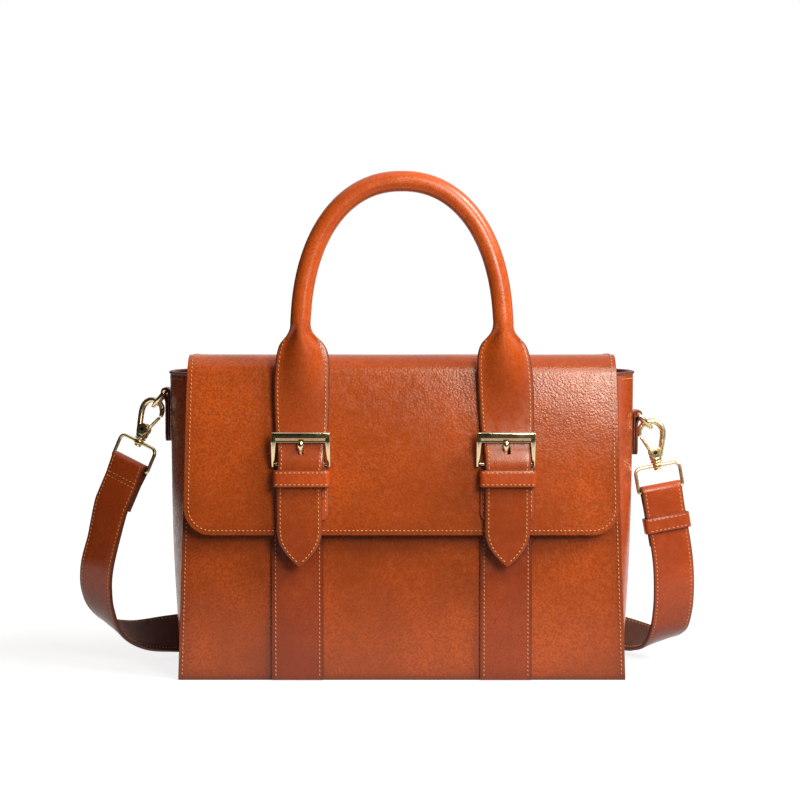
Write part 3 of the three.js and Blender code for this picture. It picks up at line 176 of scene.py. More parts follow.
@dataclass(frozen=True)
class Leather:
    """Vegetable-tanned cowhide, drum dyed and waxed: a warm tone that shifts over the hide, with a pebbled grain."""

    name: str
    tone: str
    deep: str
    light: str
    roughness: float
    grain: float
    relief: float
    patina: float = 70.0

    def build(self) -> bpy.types.Material:
        """Makes the material.

        Returns:
            Leather whose grain and patina are in real sizes.
        """
        material = bpy.data.materials.new(self.name)
        material.use_nodes = True
        tree = material.node_tree
        shader = tree.nodes["Principled BSDF"]
        place = add_node(tree, "ShaderNodeTexCoord").outputs["Object"]
        clouds = add_node(tree, "ShaderNodeTexNoise", {
            "Vector": place, "Scale": 1 / (self.patina * MM), "Detail": 5.0, "Roughness": 0.6})
        mottle = add_node(tree, "ShaderNodeTexNoise", {
            "Vector": place, "Scale": 1 / (5.0 * MM), "Detail": 3.0, "Roughness": 0.6})
        warp = add_node(tree, "ShaderNodeMix", {
            0: 0.0015, 4: place, 5: mottle.outputs["Color"]}, data_type="VECTOR")
        # The pebbles are drawn a little over life size, since real ones are finer than a picture point.
        pebble = add_node(tree, "ShaderNodeTexVoronoi", {
            "Vector": warp.outputs[1], "Scale": 1 / (self.grain * MM)}, feature="F1")
        crease = add_node(tree, "ShaderNodeMapRange", {
            "Value": pebble.outputs["Distance"], "From Min": 0.22, "From Max": 0.72, "To Min": 0.0, "To Max": 0.8})
        age = add_node(tree, "ShaderNodeMapRange", {
            "Value": clouds.outputs["Fac"], "From Min": 0.34, "From Max": 0.66})
        dyed = add_node(tree, "ShaderNodeMix", {
            0: age.outputs["Result"], 6: linear(self.deep), 7: linear(self.tone)}, data_type="RGBA")
        spots = add_node(tree, "ShaderNodeMapRange", {
            "Value": mottle.outputs["Fac"], "From Min": 0.5, "From Max": 0.8, "To Max": 0.2})
        wear_and_painted_shade = add_node(tree, "ShaderNodeMix", {
            0: spots.outputs["Result"], 6: dyed.outputs[2], 7: linear(self.light)}, data_type="RGBA")
        creased = add_node(tree, "ShaderNodeMix", {
            0: crease.outputs["Result"], 6: wear_and_painted_shade.outputs[2], 7: linear(self.deep)}, data_type="RGBA")
        # Mixes towards #5a1f0a by the mesh's darkening attribute: darker edges and bottoms, and painted shade under
        # the flap and down the handle's tabs.
        darkened = add_node(tree, "ShaderNodeAttribute", attribute_name="darkening_and_painted_shade").outputs["Fac"]
        shaded = add_node(tree, "ShaderNodeMix", {
            0: darkened, 6: creased.outputs[2], 7: linear("#5a1f0a")}, data_type="RGBA")
        gloss = add_node(tree, "ShaderNodeMapRange", {
            "Value": mottle.outputs["Fac"], "From Min": 0.3, "From Max": 0.7,
            "To Min": self.roughness - 0.05, "To Max": self.roughness + 0.08})
        waves = add_node(tree, "ShaderNodeTexNoise", {"Vector": place, "Scale": 1 / (22.0 * MM), "Detail": 2.0})
        slack = add_node(tree, "ShaderNodeBump", {
            "Height": waves.outputs["Fac"], "Strength": 0.5, "Distance": 0.6 * MM})
        domed = add_node(tree, "ShaderNodeMath", {
            0: 1.0, 1: pebble.outputs["Distance"]}, operation="SUBTRACT")
        bump = add_node(tree, "ShaderNodeBump", {
            "Height": domed.outputs[0], "Strength": 0.8, "Distance": self.relief * MM,
            "Normal": slack.outputs["Normal"]})
        tree.links.new(shaded.outputs[2], shader.inputs["Base Color"])
        tree.links.new(gloss.outputs["Result"], shader.inputs["Roughness"])
        tree.links.new(bump.outputs["Normal"], shader.inputs["Normal"])
        shader.inputs["IOR"].default_value = 1.47
        return material


@dataclass(frozen=True)
class Coating:
    """A plain surface with a fine, uneven texture: edge paint, thread, cloth, board or metal."""

    name: str
    tone: str
    shade: str
    roughness: float
    speckle: float
    relief: float
    metallic: float = 0.0

    def build(self) -> bpy.types.Material:
        """Makes the material.

        Returns:
            A two-tone speckled finish with a matching bump.
        """
        material = bpy.data.materials.new(self.name)
        material.use_nodes = True
        tree = material.node_tree
        shader = tree.nodes["Principled BSDF"]
        place = add_node(tree, "ShaderNodeTexCoord").outputs["Object"]
        grit = add_node(tree, "ShaderNodeTexNoise", {
            "Vector": place, "Scale": 1 / (self.speckle * MM), "Detail": 3.0})
        share = add_node(tree, "ShaderNodeMapRange", {
            "Value": grit.outputs["Fac"], "From Min": 0.35, "From Max": 0.65})
        tint = add_node(tree, "ShaderNodeMix", {
            0: share.outputs["Result"], 6: linear(self.shade), 7: linear(self.tone)}, data_type="RGBA")
        gloss = add_node(tree, "ShaderNodeMapRange", {
            "Value": grit.outputs["Fac"], "From Min": 0.3, "From Max": 0.7,
            "To Min": self.roughness * 0.85, "To Max": self.roughness * 1.2})
        bump = add_node(tree, "ShaderNodeBump", {
            "Height": grit.outputs["Fac"], "Strength": 0.6, "Distance": self.relief * MM})
        tree.links.new(tint.outputs[2], shader.inputs["Base Color"])
        tree.links.new(gloss.outputs["Result"], shader.inputs["Roughness"])
        tree.links.new(bump.outputs["Normal"], shader.inputs["Normal"])
        shader.inputs["Metallic"].default_value = self.metallic
        return material


@dataclass(frozen=True)
class Weave:
    """Plain-woven cotton twill: crossing threads, matt, with a little colour between warp and weft."""

    name: str
    tone: str
    shade: str
    thread: float

    def build(self) -> bpy.types.Material:
        """Makes the material.

        Returns:
            Cloth with warp and weft ribs at the thread's spacing.
        """
        material = bpy.data.materials.new(self.name)
        material.use_nodes = True
        tree = material.node_tree
        shader = tree.nodes["Principled BSDF"]
        place = add_node(tree, "ShaderNodeTexCoord").outputs["Object"]
        # A wave's period is 2 pi over 20 times its scale.
        scale = math.pi / (10 * self.thread * MM)
        warp = add_node(tree, "ShaderNodeTexWave", {"Vector": place, "Scale": scale}, bands_direction="DIAGONAL")
        weft = add_node(tree, "ShaderNodeTexWave", {"Vector": place, "Scale": scale}, bands_direction="Z")
        cross = add_node(tree, "ShaderNodeMath", {
            0: warp.outputs["Fac"], 1: weft.outputs["Fac"]}, operation="MULTIPLY")
        tint = add_node(tree, "ShaderNodeMix", {
            0: cross.outputs[0], 6: linear(self.shade), 7: linear(self.tone)}, data_type="RGBA")
        bump = add_node(tree, "ShaderNodeBump", {
            "Height": cross.outputs[0], "Strength": 0.6, "Distance": 0.2 * MM})
        tree.links.new(tint.outputs[2], shader.inputs["Base Color"])
        tree.links.new(bump.outputs["Normal"], shader.inputs["Normal"])
        shader.inputs["Roughness"].default_value = 0.9
        return material


class Finish(Enum):
    """The finishes of the bag, each built once."""

    HIDE = Leather("grained_cowhide", "#b34b12", "#88360c", "#be5e20", 0.25, 1.4, 0.12)
    # The handle's leather is a lighter copy of the smooth cowhide: painted light on the handle.
    HANDLE = Leather("rolled_cowhide", "#c6571a", "#9a3c0f", "#ce682a", 0.27, 1.1, 0.04)
    SMOOTH = Leather("smooth_cowhide", "#ba4d19", "#8f3610", "#c45e28", 0.27, 1.1, 0.04)
    STRAP = Leather("strap_cowhide", "#9f3e12", "#762b0b", "#aa4f22", 0.3, 1.0, 0.04)
    FLESH = Leather("dyed_flesh_side", "#5e2c16", "#451d0c", "#6e3a22", 0.7, 1.0, 0.06)
    EDGE = Coating("painted_leather_edge", "#6a2c12", "#4a1d0c", 0.5, 1.5, 0.05)
    THREAD = Coating("waxed_linen_thread", "#d29a6a", "#b87e50", 0.7, 0.6, 0.08)
    BRASS = Coating("gold_plated_zinc", "#e8d4ac", "#dcc498", 0.15, 4.0, 0.004, 1.0)
    # The clasps' gilt is a paler, rougher copy of the brass; its paler colour is painted light on the clasps.
    GILT = Coating("gold_plated_casting", "#f0dcb0", "#e4cc9c", 0.26, 4.0, 0.004, 1.0)
    PIN = Coating("oxidised_brass", "#4c3a20", "#382812", 0.45, 2.0, 0.004, 1.0)
    STEEL = Coating("nickel_plated_steel", "#c2c4c8", "#b2b4b9", 0.25, 4.0, 0.004, 1.0)
    LINING = Weave("cotton_twill", "#6f5a42", "#574430", 0.9)
    FELT = Coating("black_felt", "#0c0b0a", "#080808", 0.95, 2.0, 0.05)
    BOARD = Coating("fibreboard", "#8a7a66", "#75664f", 0.9, 1.2, 0.05)
    ROPE = Weave("twisted_cotton", "#d8c9a8", "#bba988", 1.5)

    def material(self) -> bpy.types.Material:
        """The finish's material, made when first asked for."""
        return bpy.data.materials.get(self.value.name) or self.value.build()


# Making pieces


class Skin:
    """A surface drawn station by station by extruding a row of edges."""

    def __init__(self, points: Sequence[Vector], closed: bool = True, faces: Sequence[int] = ()) -> None:
        """Starts with one row of points.

        Args:
            points: The first section.
            closed: Whether the section runs back to its start.
            faces: The material number of the faces that each of the section's edges draws.
        """
        self.mesh = bmesh.new()
        self.closed = closed
        self.row = [self.mesh.verts.new(p) for p in points]
        self.faces = list(faces) or [0] * len(points)
        self.edges = [self.mesh.edges.new(pair) for pair in self.pairs(self.row)]
        self.first = list(self.edges)
        self.rows = [self.row]

    def pairs(self, row: Sequence[bmesh.types.BMVert]) -> list[tuple[bmesh.types.BMVert, bmesh.types.BMVert]]:
        """The row's neighbours, two by two."""
        after = [*row[1:], row[0]] if self.closed else row[1:]
        return list(zip(row, after))

    def draw(self, points: Sequence[Vector]) -> "Skin":
        """Extrudes the last row to new places.

        Args:
            points: The next section, in the same order.
        Returns:
            The skin itself.
        """
        made = bmesh.ops.extrude_edge_only(self.mesh, edges=self.edges)
        fresh = {v for v in made["geom"] if isinstance(v, bmesh.types.BMVert)}
        row = [next(w for e in v.link_edges if (w := e.other_vert(v)) in fresh) for v in self.row]
        for vert, point in zip(row, points):
            vert.co = point
        self.edges = [self.mesh.edges.get(pair) for pair in self.pairs(row)]
        for edge, number in zip(self.edges, self.faces):
            edge.link_faces[0].material_index = number
        self.row = row
        self.rows.append(row)
        return self

    def cap(self, number: int = 0) -> "Skin":
        """Closes both ends with a face of that material.

        Returns:
            The skin itself.
        """
        for edges in (self.first, self.edges):
            for face in bmesh.ops.contextual_create(self.mesh, geom=edges)["faces"]:
                face.material_index = number
        return self

    def join_ends(self) -> "Skin":
        """Bridges the last row to the first, as a ring.

        Returns:
            The skin itself.
        """
        bmesh.ops.bridge_loops(self.mesh, edges=[*self.first, *self.edges])
        return self


def through(sections: Sequence[Sequence[Vector]], faces: Sequence[int] = (), closed: bool = True) -> Skin:
    """A skin through all the sections."""
    skin = Skin(sections[0], closed, faces)
    for section in sections[1:]:
        skin.draw(section)
    return skin


def tube(points: Sequence[Vector], size: Callable[[float], tuple[float, float]], across: Vector,
         sides: int = 16, ring: bool = False) -> bmesh.types.BMesh:
    """A bar or wire with an oval section along a line.

    Args:
        points: The line, in metres.
        size: Half width and half depth in metres at a share of the line.
        across: The direction of the half depth.
        sides: Points round the section.
        ring: Whether the line closes on itself.
    Returns:
        The closed mesh.
    """
    count = len(points)
    sections = []
    for k, point in enumerate(points):
        before = points[k - 1] if ring or k else point
        after = points[(k + 1) % count] if ring or k + 1 < count else point
        out = (after - before).cross(across).normalized()
        wide, deep = size(k / (count - 1))
        turns = [2 * math.pi * n / sides for n in range(sides)]
        sections.append([point + out * (wide * math.cos(a)) + across * (deep * math.sin(a)) for a in turns])
    skin = through(sections)
    if ring:
        skin.join_ends()
    else:
        skin.cap()
    return skin.mesh


def cylinder(radius: float, start: Vector, end: Vector, bevel: float = 0.0, sides: int = 32) -> bmesh.types.BMesh:
    """A round bar between two points, in metres, with bevelled rims."""
    made = bmesh.new()
    run = end - start
    turn = run.to_track_quat("Z", "Y").to_matrix().to_4x4()
    bmesh.ops.create_cone(made, cap_ends=True, segments=sides, radius1=radius, radius2=radius, depth=run.length,
                          matrix=Matrix.Translation((start + end) / 2) @ turn)
    if bevel:
        rims = [e for e in made.edges if any(len(f.verts) > 4 for f in e.link_faces)]
        bmesh.ops.bevel(made, geom=rims, offset=bevel, offset_type="OFFSET", affect="EDGES", segments=3,
                        profile=0.5, material=-1)
    return made


def merged(*parts: bmesh.types.BMesh) -> bmesh.types.BMesh:
    """Several meshes as one."""
    whole = bmesh.new()
    for part in parts:
        carried = bpy.data.meshes.new("carried")
        part.to_mesh(carried)
        part.free()
        whole.from_mesh(carried)
        bpy.data.meshes.remove(carried)
    return whole


def sheet(place: Place, columns: int, rows: int, darkened: Optional[Callable[[float, float], float]] = None
          ) -> bmesh.types.BMesh:
    """A grid laid out by a function.

    Args:
        place: The point at a share across and a share up, each from 0 to 1.
        columns: Faces across.
        rows: Faces up.
        darkened: How far the leather is darkened at the same shares, painted shade included where a piece paints it.
    Returns:
        The open sheet, facing the side where across, up and out are right-handed.
    """
    made = bmesh.new()
    layer = made.verts.layers.float.new("darkening_and_painted_shade")
    bmesh.ops.create_grid(made, x_segments=columns, y_segments=rows, size=0.5)
    for vert in made.verts:
        across, up = vert.co.x + 0.5, vert.co.y + 0.5
        vert[layer] = darkened(across, up) if darkened else 0.0
        vert.co = place(across, up)
    return made


@dataclass
class Dressing:
    """How a finished mesh becomes a piece of the bag."""

    body: str
    finishes: tuple[Finish, ...]
    stands_for: tuple[str, ...] = ()
    slot: str = "tan_leather"
    blend: Optional[tuple[str, str, Vector, Vector]] = None
    sharp: float = 40.0

    def dress(self, name: str, mesh: bmesh.types.BMesh, thickness: float = 0.0, rim: float = 0.0
              ) -> bpy.types.Object:
        """Makes an object of the mesh and ties it to its body, or, when it has a blend, bakes it in place.

        Args:
            name: The piece's name.
            mesh: Its shape, in metres.
            thickness: Leather's or cloth's thickness in millimetres, for an open sheet.
            rim: How round the sheet's cut edge is, in millimetres.
        Returns:
            The finished piece.
        """
        if not thickness:
            bmesh.ops.remove_doubles(mesh, verts=mesh.verts, dist=1e-7)
            bmesh.ops.recalc_face_normals(mesh, faces=mesh.faces)
        data = bpy.data.meshes.new(name)
        mesh.to_mesh(data)
        mesh.free()
        for finish in self.finishes:
            data.materials.append(finish.material())
        data.shade_smooth()
        if not thickness:
            data.set_sharp_from_angle(angle=math.radians(self.sharp))
        piece = bpy.data.objects.new(name, data)
        bpy.context.scene.collection.objects.link(piece)
        if thickness:
            wall = piece.modifiers.new("thickness", "SOLIDIFY")
            wall.thickness = thickness * MM
            wall.offset = -1.0
            wall.use_even_offset = True
            wall.material_offset_rim = Face.EDGE.value if len(self.finishes) > 1 else 0
            wall.material_offset = Face.FLESH.value if len(self.finishes) > 2 else 0
        if rim:
            edge = piece.modifiers.new("rim", "BEVEL")
            edge.width = rim * MM
            edge.segments = 3
            edge.limit_method = "ANGLE"
            edge.angle_limit = math.radians(50)
            edge.harden_normals = True
        if self.blend:
            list(self.blend)
            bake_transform(piece)
        else:
            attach(piece, self.body)
        if self.stands_for:
            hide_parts(*self.stands_for)
        LOG.info("%s: %d faces", name, len(data.polygons))
        return piece


@dataclass(frozen=True)
class Thread:
    """Saddle stitches of waxed thread, each lying a little aslant."""

    pitch: float = 2.8
    length: float = 2.1
    width: float = 0.7
    height: float = 0.6
    slant: float = 7.0

    def sew(self, name: str, seams: Sequence[Seam], dressing: Dressing) -> bpy.types.Object:
        """Sets stitches along the seams.

        Args:
            name: The piece's name.
            seams: Lines of points with the way that the leather faces.
            dressing: The dressing that the stitches follow: its body, or its blend, which bakes them in place.
        Returns:
            One piece with all the stitches.
        """
        made = bmesh.new()
        lift = Matrix.Diagonal((self.length / 2 * MM, self.width / 2 * MM, self.height / 2 * MM, 1.0))
        for seam in seams:
            for place, along, out in self.spots(seam):
                side = out.cross(along).normalized()
                turn = Matrix((along, side, along.cross(side))).transposed().to_4x4()
                aslant = Matrix.Rotation(math.radians(self.slant), 4, "Z")
                bmesh.ops.create_icosphere(made, subdivisions=1, radius=1.0,
                                           matrix=Matrix.Translation(place) @ turn @ aslant @ lift)
        threads = Dressing(dressing.body, (Finish.THREAD,), (), dressing.slot, dressing.blend, 180.0)
        return threads.dress(name, made)

    def spots(self, seam: Seam) -> list[tuple[Vector, Vector, Vector]]:
        """Where each stitch of a seam lies.

        Args:
            seam: The seam's points with the way that the leather faces.
        Returns:
            Each stitch's middle, its direction and the way that the leather faces there.
        """
        lengths = [0.0]
        for (a, _), (b, _) in zip(seam, seam[1:]):
            lengths.append(lengths[-1] + (b - a).length)
        count = max(int(lengths[-1] / (self.pitch * MM)), 1)
        step = lengths[-1] / count
        found = []
        for k in range(count):
            at = (k + 0.5) * step
            n = min(bisect_right(lengths, at), len(seam) - 1)
            (a, out_a), (b, out_b) = seam[n - 1], seam[n]
            share = (at - lengths[n - 1]) / max(lengths[n] - lengths[n - 1], 1e-9)
            found.append((a.lerp(b, share), (b - a).normalized(), out_a.lerp(out_b, share).normalized()))
        return found


THREAD = Thread()


@dataclass
class Station:
    """One cross-section of a leather strip: its middle, its way across, its outer face's way, and its sizes."""

    at: Vector
    side: Vector
    face: Vector
    half: float
    thick: float

    def section(self) -> list[Vector]:
        """The section's outline, with rounded edges, from the outer face's far side round to the start."""
        half, flat = self.half * MM, self.thick / 2 * MM
        round_off = min(0.32 * self.thick * MM, half * 0.4)
        shoulder, crown = half - round_off, flat - round_off
        bend = round_off * 0.7
        right = [(half, -crown), (half, crown), (shoulder + bend, crown + bend)]
        front = [(shoulder, flat), (0.5 * half, flat), (-0.5 * half, flat), (-shoulder, flat)]
        left = [(-shoulder - bend, crown + bend), (-half, crown), (-half, -crown), (-shoulder - bend, -crown - bend)]
        back = [(-shoulder, -flat), (-0.5 * half, -flat), (0.5 * half, -flat), (shoulder, -flat)]
        last = [(shoulder + bend, -crown - bend)]
        return [self.at + self.side * u + self.face * v for u, v in [*right, *front, *left, *back, *last]]

    def on_face(self, inset: float, way: int) -> tuple[Vector, Vector]:
        """A point on the outer face, inset from one edge in millimetres, with the way that it faces."""
        out = self.side * (way * (self.half - inset) * MM) + self.face * (self.thick / 2 * MM)
        return self.at + out, self.face


STRIP_FACES = [1, 1, 1, 0, 0, 0, 1, 1, 1, 1, 1, 2, 2, 2, 1, 1]


def strip(stations: Sequence[Station]) -> bmesh.types.BMesh:
    """A flat leather strip with painted edges through its stations."""
    return through([s.section() for s in stations], STRIP_FACES).cap(Face.EDGE.value).mesh


def along_line(points: Sequence[Vector], side: Vector, half: float, thick: float, way: int = 1) -> list[Station]:
    """Stations of a strip along a bent line.

    Args:
        points: The strip's middle line.
        side: The way across, the same all along.
        half: Half its width in millimetres.
        thick: Its thickness in millimetres.
        way: 1 or -1 for the side that its outer face is on.
    Returns:
        A station for each point.
    """
    last = len(points) - 1
    made = []
    for k, point in enumerate(points):
        tangent = (points[min(k + 1, last)] - points[max(k - 1, 0)]).normalized()
        made.append(Station(point, side, tangent.cross(side).normalized() * way, half, thick))
    return made


# Body


@dataclass
class Body:
    """The bag's body: panels, bellied gussets, base, lining and the straps sewn to its front."""

    width: float = 300.0
    depth: float = 100.0
    height: float = 206.0
    taper: float = 7.0
    leather: float = 2.2
    gap: float = 0.3
    belly: float = 10.5
    belly_start: float = 2.0
    belly_rise: float = 60.0
    belly_power: float = 2.2
    seam_inset: float = 1.5
    stitch_inset: float = 2.6
    strap_centre: float = 69.6
    strap_width: float = 34.5
    strap_top: float = 150.0
    strap_lift: float = 0.5
    hem_drop: float = 4.6
    lining: float = 0.8
    lining_floor: float = 4.8
    lining_top: float = 203.0
    flange_y: float = 46.4

    def half_at(self, z: float) -> float:
        """Half the panel's width at a height."""
        return self.width / 2 - self.taper * z / self.height

    def gusset_x(self, z: float, y: float) -> float:
        """The middle of the gusset's leather at a height and depth."""
        seam = self.half_at(z) - self.seam_inset
        belly = self.width / 2 - self.belly_start + self.belly * (1 - math.exp(-z / self.belly_rise))
        return seam + (belly - seam) * (1 - abs(y / self.flange_y) ** self.belly_power)

    def panel(self, name: str, way: int) -> None:
        """Builds the front or back panel with its side seams.

        Args:
            name: The CAD panel that it stands for.
            way: -1 for the front and 1 for the back.
        """
        face = way * self.depth / 2

        def place(across: float, up: float) -> Vector:
            z = self.height * up
            x = -way * (2 * across - 1) * self.half_at(z)
            ripple = 0.22 * noise.noise(Vector((x / 55, z / 45, way * 3.1)))
            return mm(x, face - way * 0.25 + way * ripple, z)

        def darkened(across: float, up: float) -> float:
            edge = min(across, 1 - across) * self.width
            low = up * self.height
            # Painted shadow: a dark band on the front panel just under the flap's lower edge.
            shaded = 0.15 * smooth_step(85, 97, low) * smooth_step(112, 102, low) if way < 0 else 0.0
            hem = 0.7 * math.exp(-low / 2.5) + 0.2 * math.exp(-low / 9)
            return min(0.45 * math.exp(-edge / 7) + hem + shaded, 0.9)

        made = sheet(place, 72, 50, darkened)
        dressing = Dressing("bag", (Finish.HIDE, Finish.EDGE), (name,))
        dressing.dress(f"{name}_hide", made, self.leather - 0.25, 0.5)
        seams = []
        for side in (-1, 1):
            heights = spread(3.0, self.height - 3, 12)
            seams.append([(mm(side * (self.half_at(z) - self.stitch_inset), face + way * 0.05, z),
                           Vector((0, way, 0))) for z in heights])
        THREAD.sew(f"{name}_stitches", seams, dressing)

    def gusset(self, hand: Hand) -> None:
        """Builds one bellied side with a rolled, stitched hem."""
        outer = self.leather / 2

        def skin_x(z: float, y: float) -> float:
            return self.gusset_x(z, y) + outer

        def place(across: float, up: float) -> Vector:
            y = (2 * across - 1) * (self.flange_y + 1.6)
            z = 2.5 + (self.height - 2.8) * up
            ripple = 0.35 * noise.noise(Vector((y / 30, z / 60, 7.7 * hand.value)))
            inside = min(max(y, -self.flange_y), self.flange_y)
            return mm(hand.value * (skin_x(z, inside) + ripple), hand.value * y, z)

        def darkened(across: float, up: float) -> float:
            return 0.3 * math.exp(-up * self.height / 12)

        name = f"{hand.word}_gusset"
        dressing = Dressing("bag", (Finish.SMOOTH, Finish.EDGE), (name,))
        dressing.dress(f"{name}_hide", sheet(place, 40, 48, darkened), self.leather, 0.4)
        depths = spread(-self.flange_y, self.flange_y, 33)
        roll = [mm(hand.value * (self.gusset_x(self.height, y) + 0.2), y, self.height - 0.9) for y in depths]
        hem = tube(roll, lambda share: (1.7 * MM, 1.2 * MM), Vector((0, 0, 1)), 14)
        Dressing("bag", (Finish.EDGE,)).dress(f"{name}_hem", hem)
        z = self.height - self.hem_drop
        row = [(mm(hand.value * (skin_x(z, y) + 0.1), y, z), Vector((hand.value, 0, 0))) for y in depths[2:-2]]
        THREAD.sew(f"{name}_stitches", [row], dressing)

    def base(self) -> None:
        """Builds the base panel."""
        half_x, half_y = self.width / 2 - self.gap, self.depth / 2 - self.leather - self.gap

        def place(across: float, up: float) -> Vector:
            return mm((2 * across - 1) * half_x, (1 - 2 * up) * half_y, 0.0)

        Dressing("bag", (Finish.HIDE, Finish.EDGE), ("base_panel",)).dress(
            "base_hide", sheet(place, 40, 14), self.leather, 0.4)

    def inside(self) -> None:
        """Builds the lining as an open cloth bag."""
        shares = spread(-1, 1, 21)

        def ring(z: float, inset: float) -> list[Vector]:
            depth = self.flange_y - self.leather / 2 - self.gap - inset
            setback = self.leather + self.gap + 1.4 * inset
            right = [(self.gusset_x(z, s * depth) - setback, s * depth) for s in shares]
            return [mm(x, y, z) for x, y in right] + [mm(-x, -y, z) for x, y in right]

        heights = [self.lining_floor + (self.lining_top - self.lining_floor) * s ** 1.4 for s in spread(0, 1, 14)]
        rows = [ring(z, 0.0) for z in heights]
        rows += [ring(z, self.lining) for z in reversed(heights[1:])]
        rows.append([p + mm(0, 0, self.lining) for p in ring(self.lining_floor, self.lining)])
        Dressing("bag", (Finish.LINING,), ("bag_lining",), "lining_cloth").dress(
            "lining_cloth_bag", through(rows).cap().mesh)

    def front_strap(self, hand: Hand) -> None:
        """Builds one vertical strap on the front panel."""
        centre, half = hand.value * self.strap_centre, self.strap_width / 2
        face = -self.depth / 2 - self.gap - self.leather

        def place(across: float, up: float) -> Vector:
            z = self.strap_lift + (self.strap_top - self.strap_lift) * up
            over = max(0.0, z - (self.strap_top - half))
            wide = half * math.sqrt(max(1 - (over / half) ** 2, 0.01))
            ripple = 0.12 * noise.noise(Vector((across * 2, z / 30, hand.value * 5.3)))
            return mm(centre + (2 * across - 1) * wide, face + 0.1 + ripple, z)

        def darkened(across: float, up: float) -> float:
            edge = min(across, 1 - across) * self.strap_width
            return min(0.75 * math.exp(-edge / 1.4) + 0.6 * math.exp(-up * self.strap_top / 4), 0.9)

        name = f"{hand.word}_front_strap"
        dressing = Dressing("bag", (Finish.STRAP, Finish.EDGE), (name,))
        dressing.dress(f"{name}_hide", sheet(place, 16, 60, darkened), self.leather - 0.1, 0.6)
        rows = [[(mm(centre + side * (half - self.stitch_inset), face + 0.05, z), Vector((0, -1, 0)))
                 for z in spread(2.5, self.strap_top - half, 8)] for side in (-1, 1)]
        THREAD.sew(f"{name}_stitches", rows, dressing)

    def build(self) -> None:
        """Builds the whole body."""
        self.panel("front_panel", -1)
        self.panel("back_panel", 1)
        self.base()
        self.inside()
        for hand in Hand:
            self.gusset(hand)
            self.front_strap(hand)


# Flap


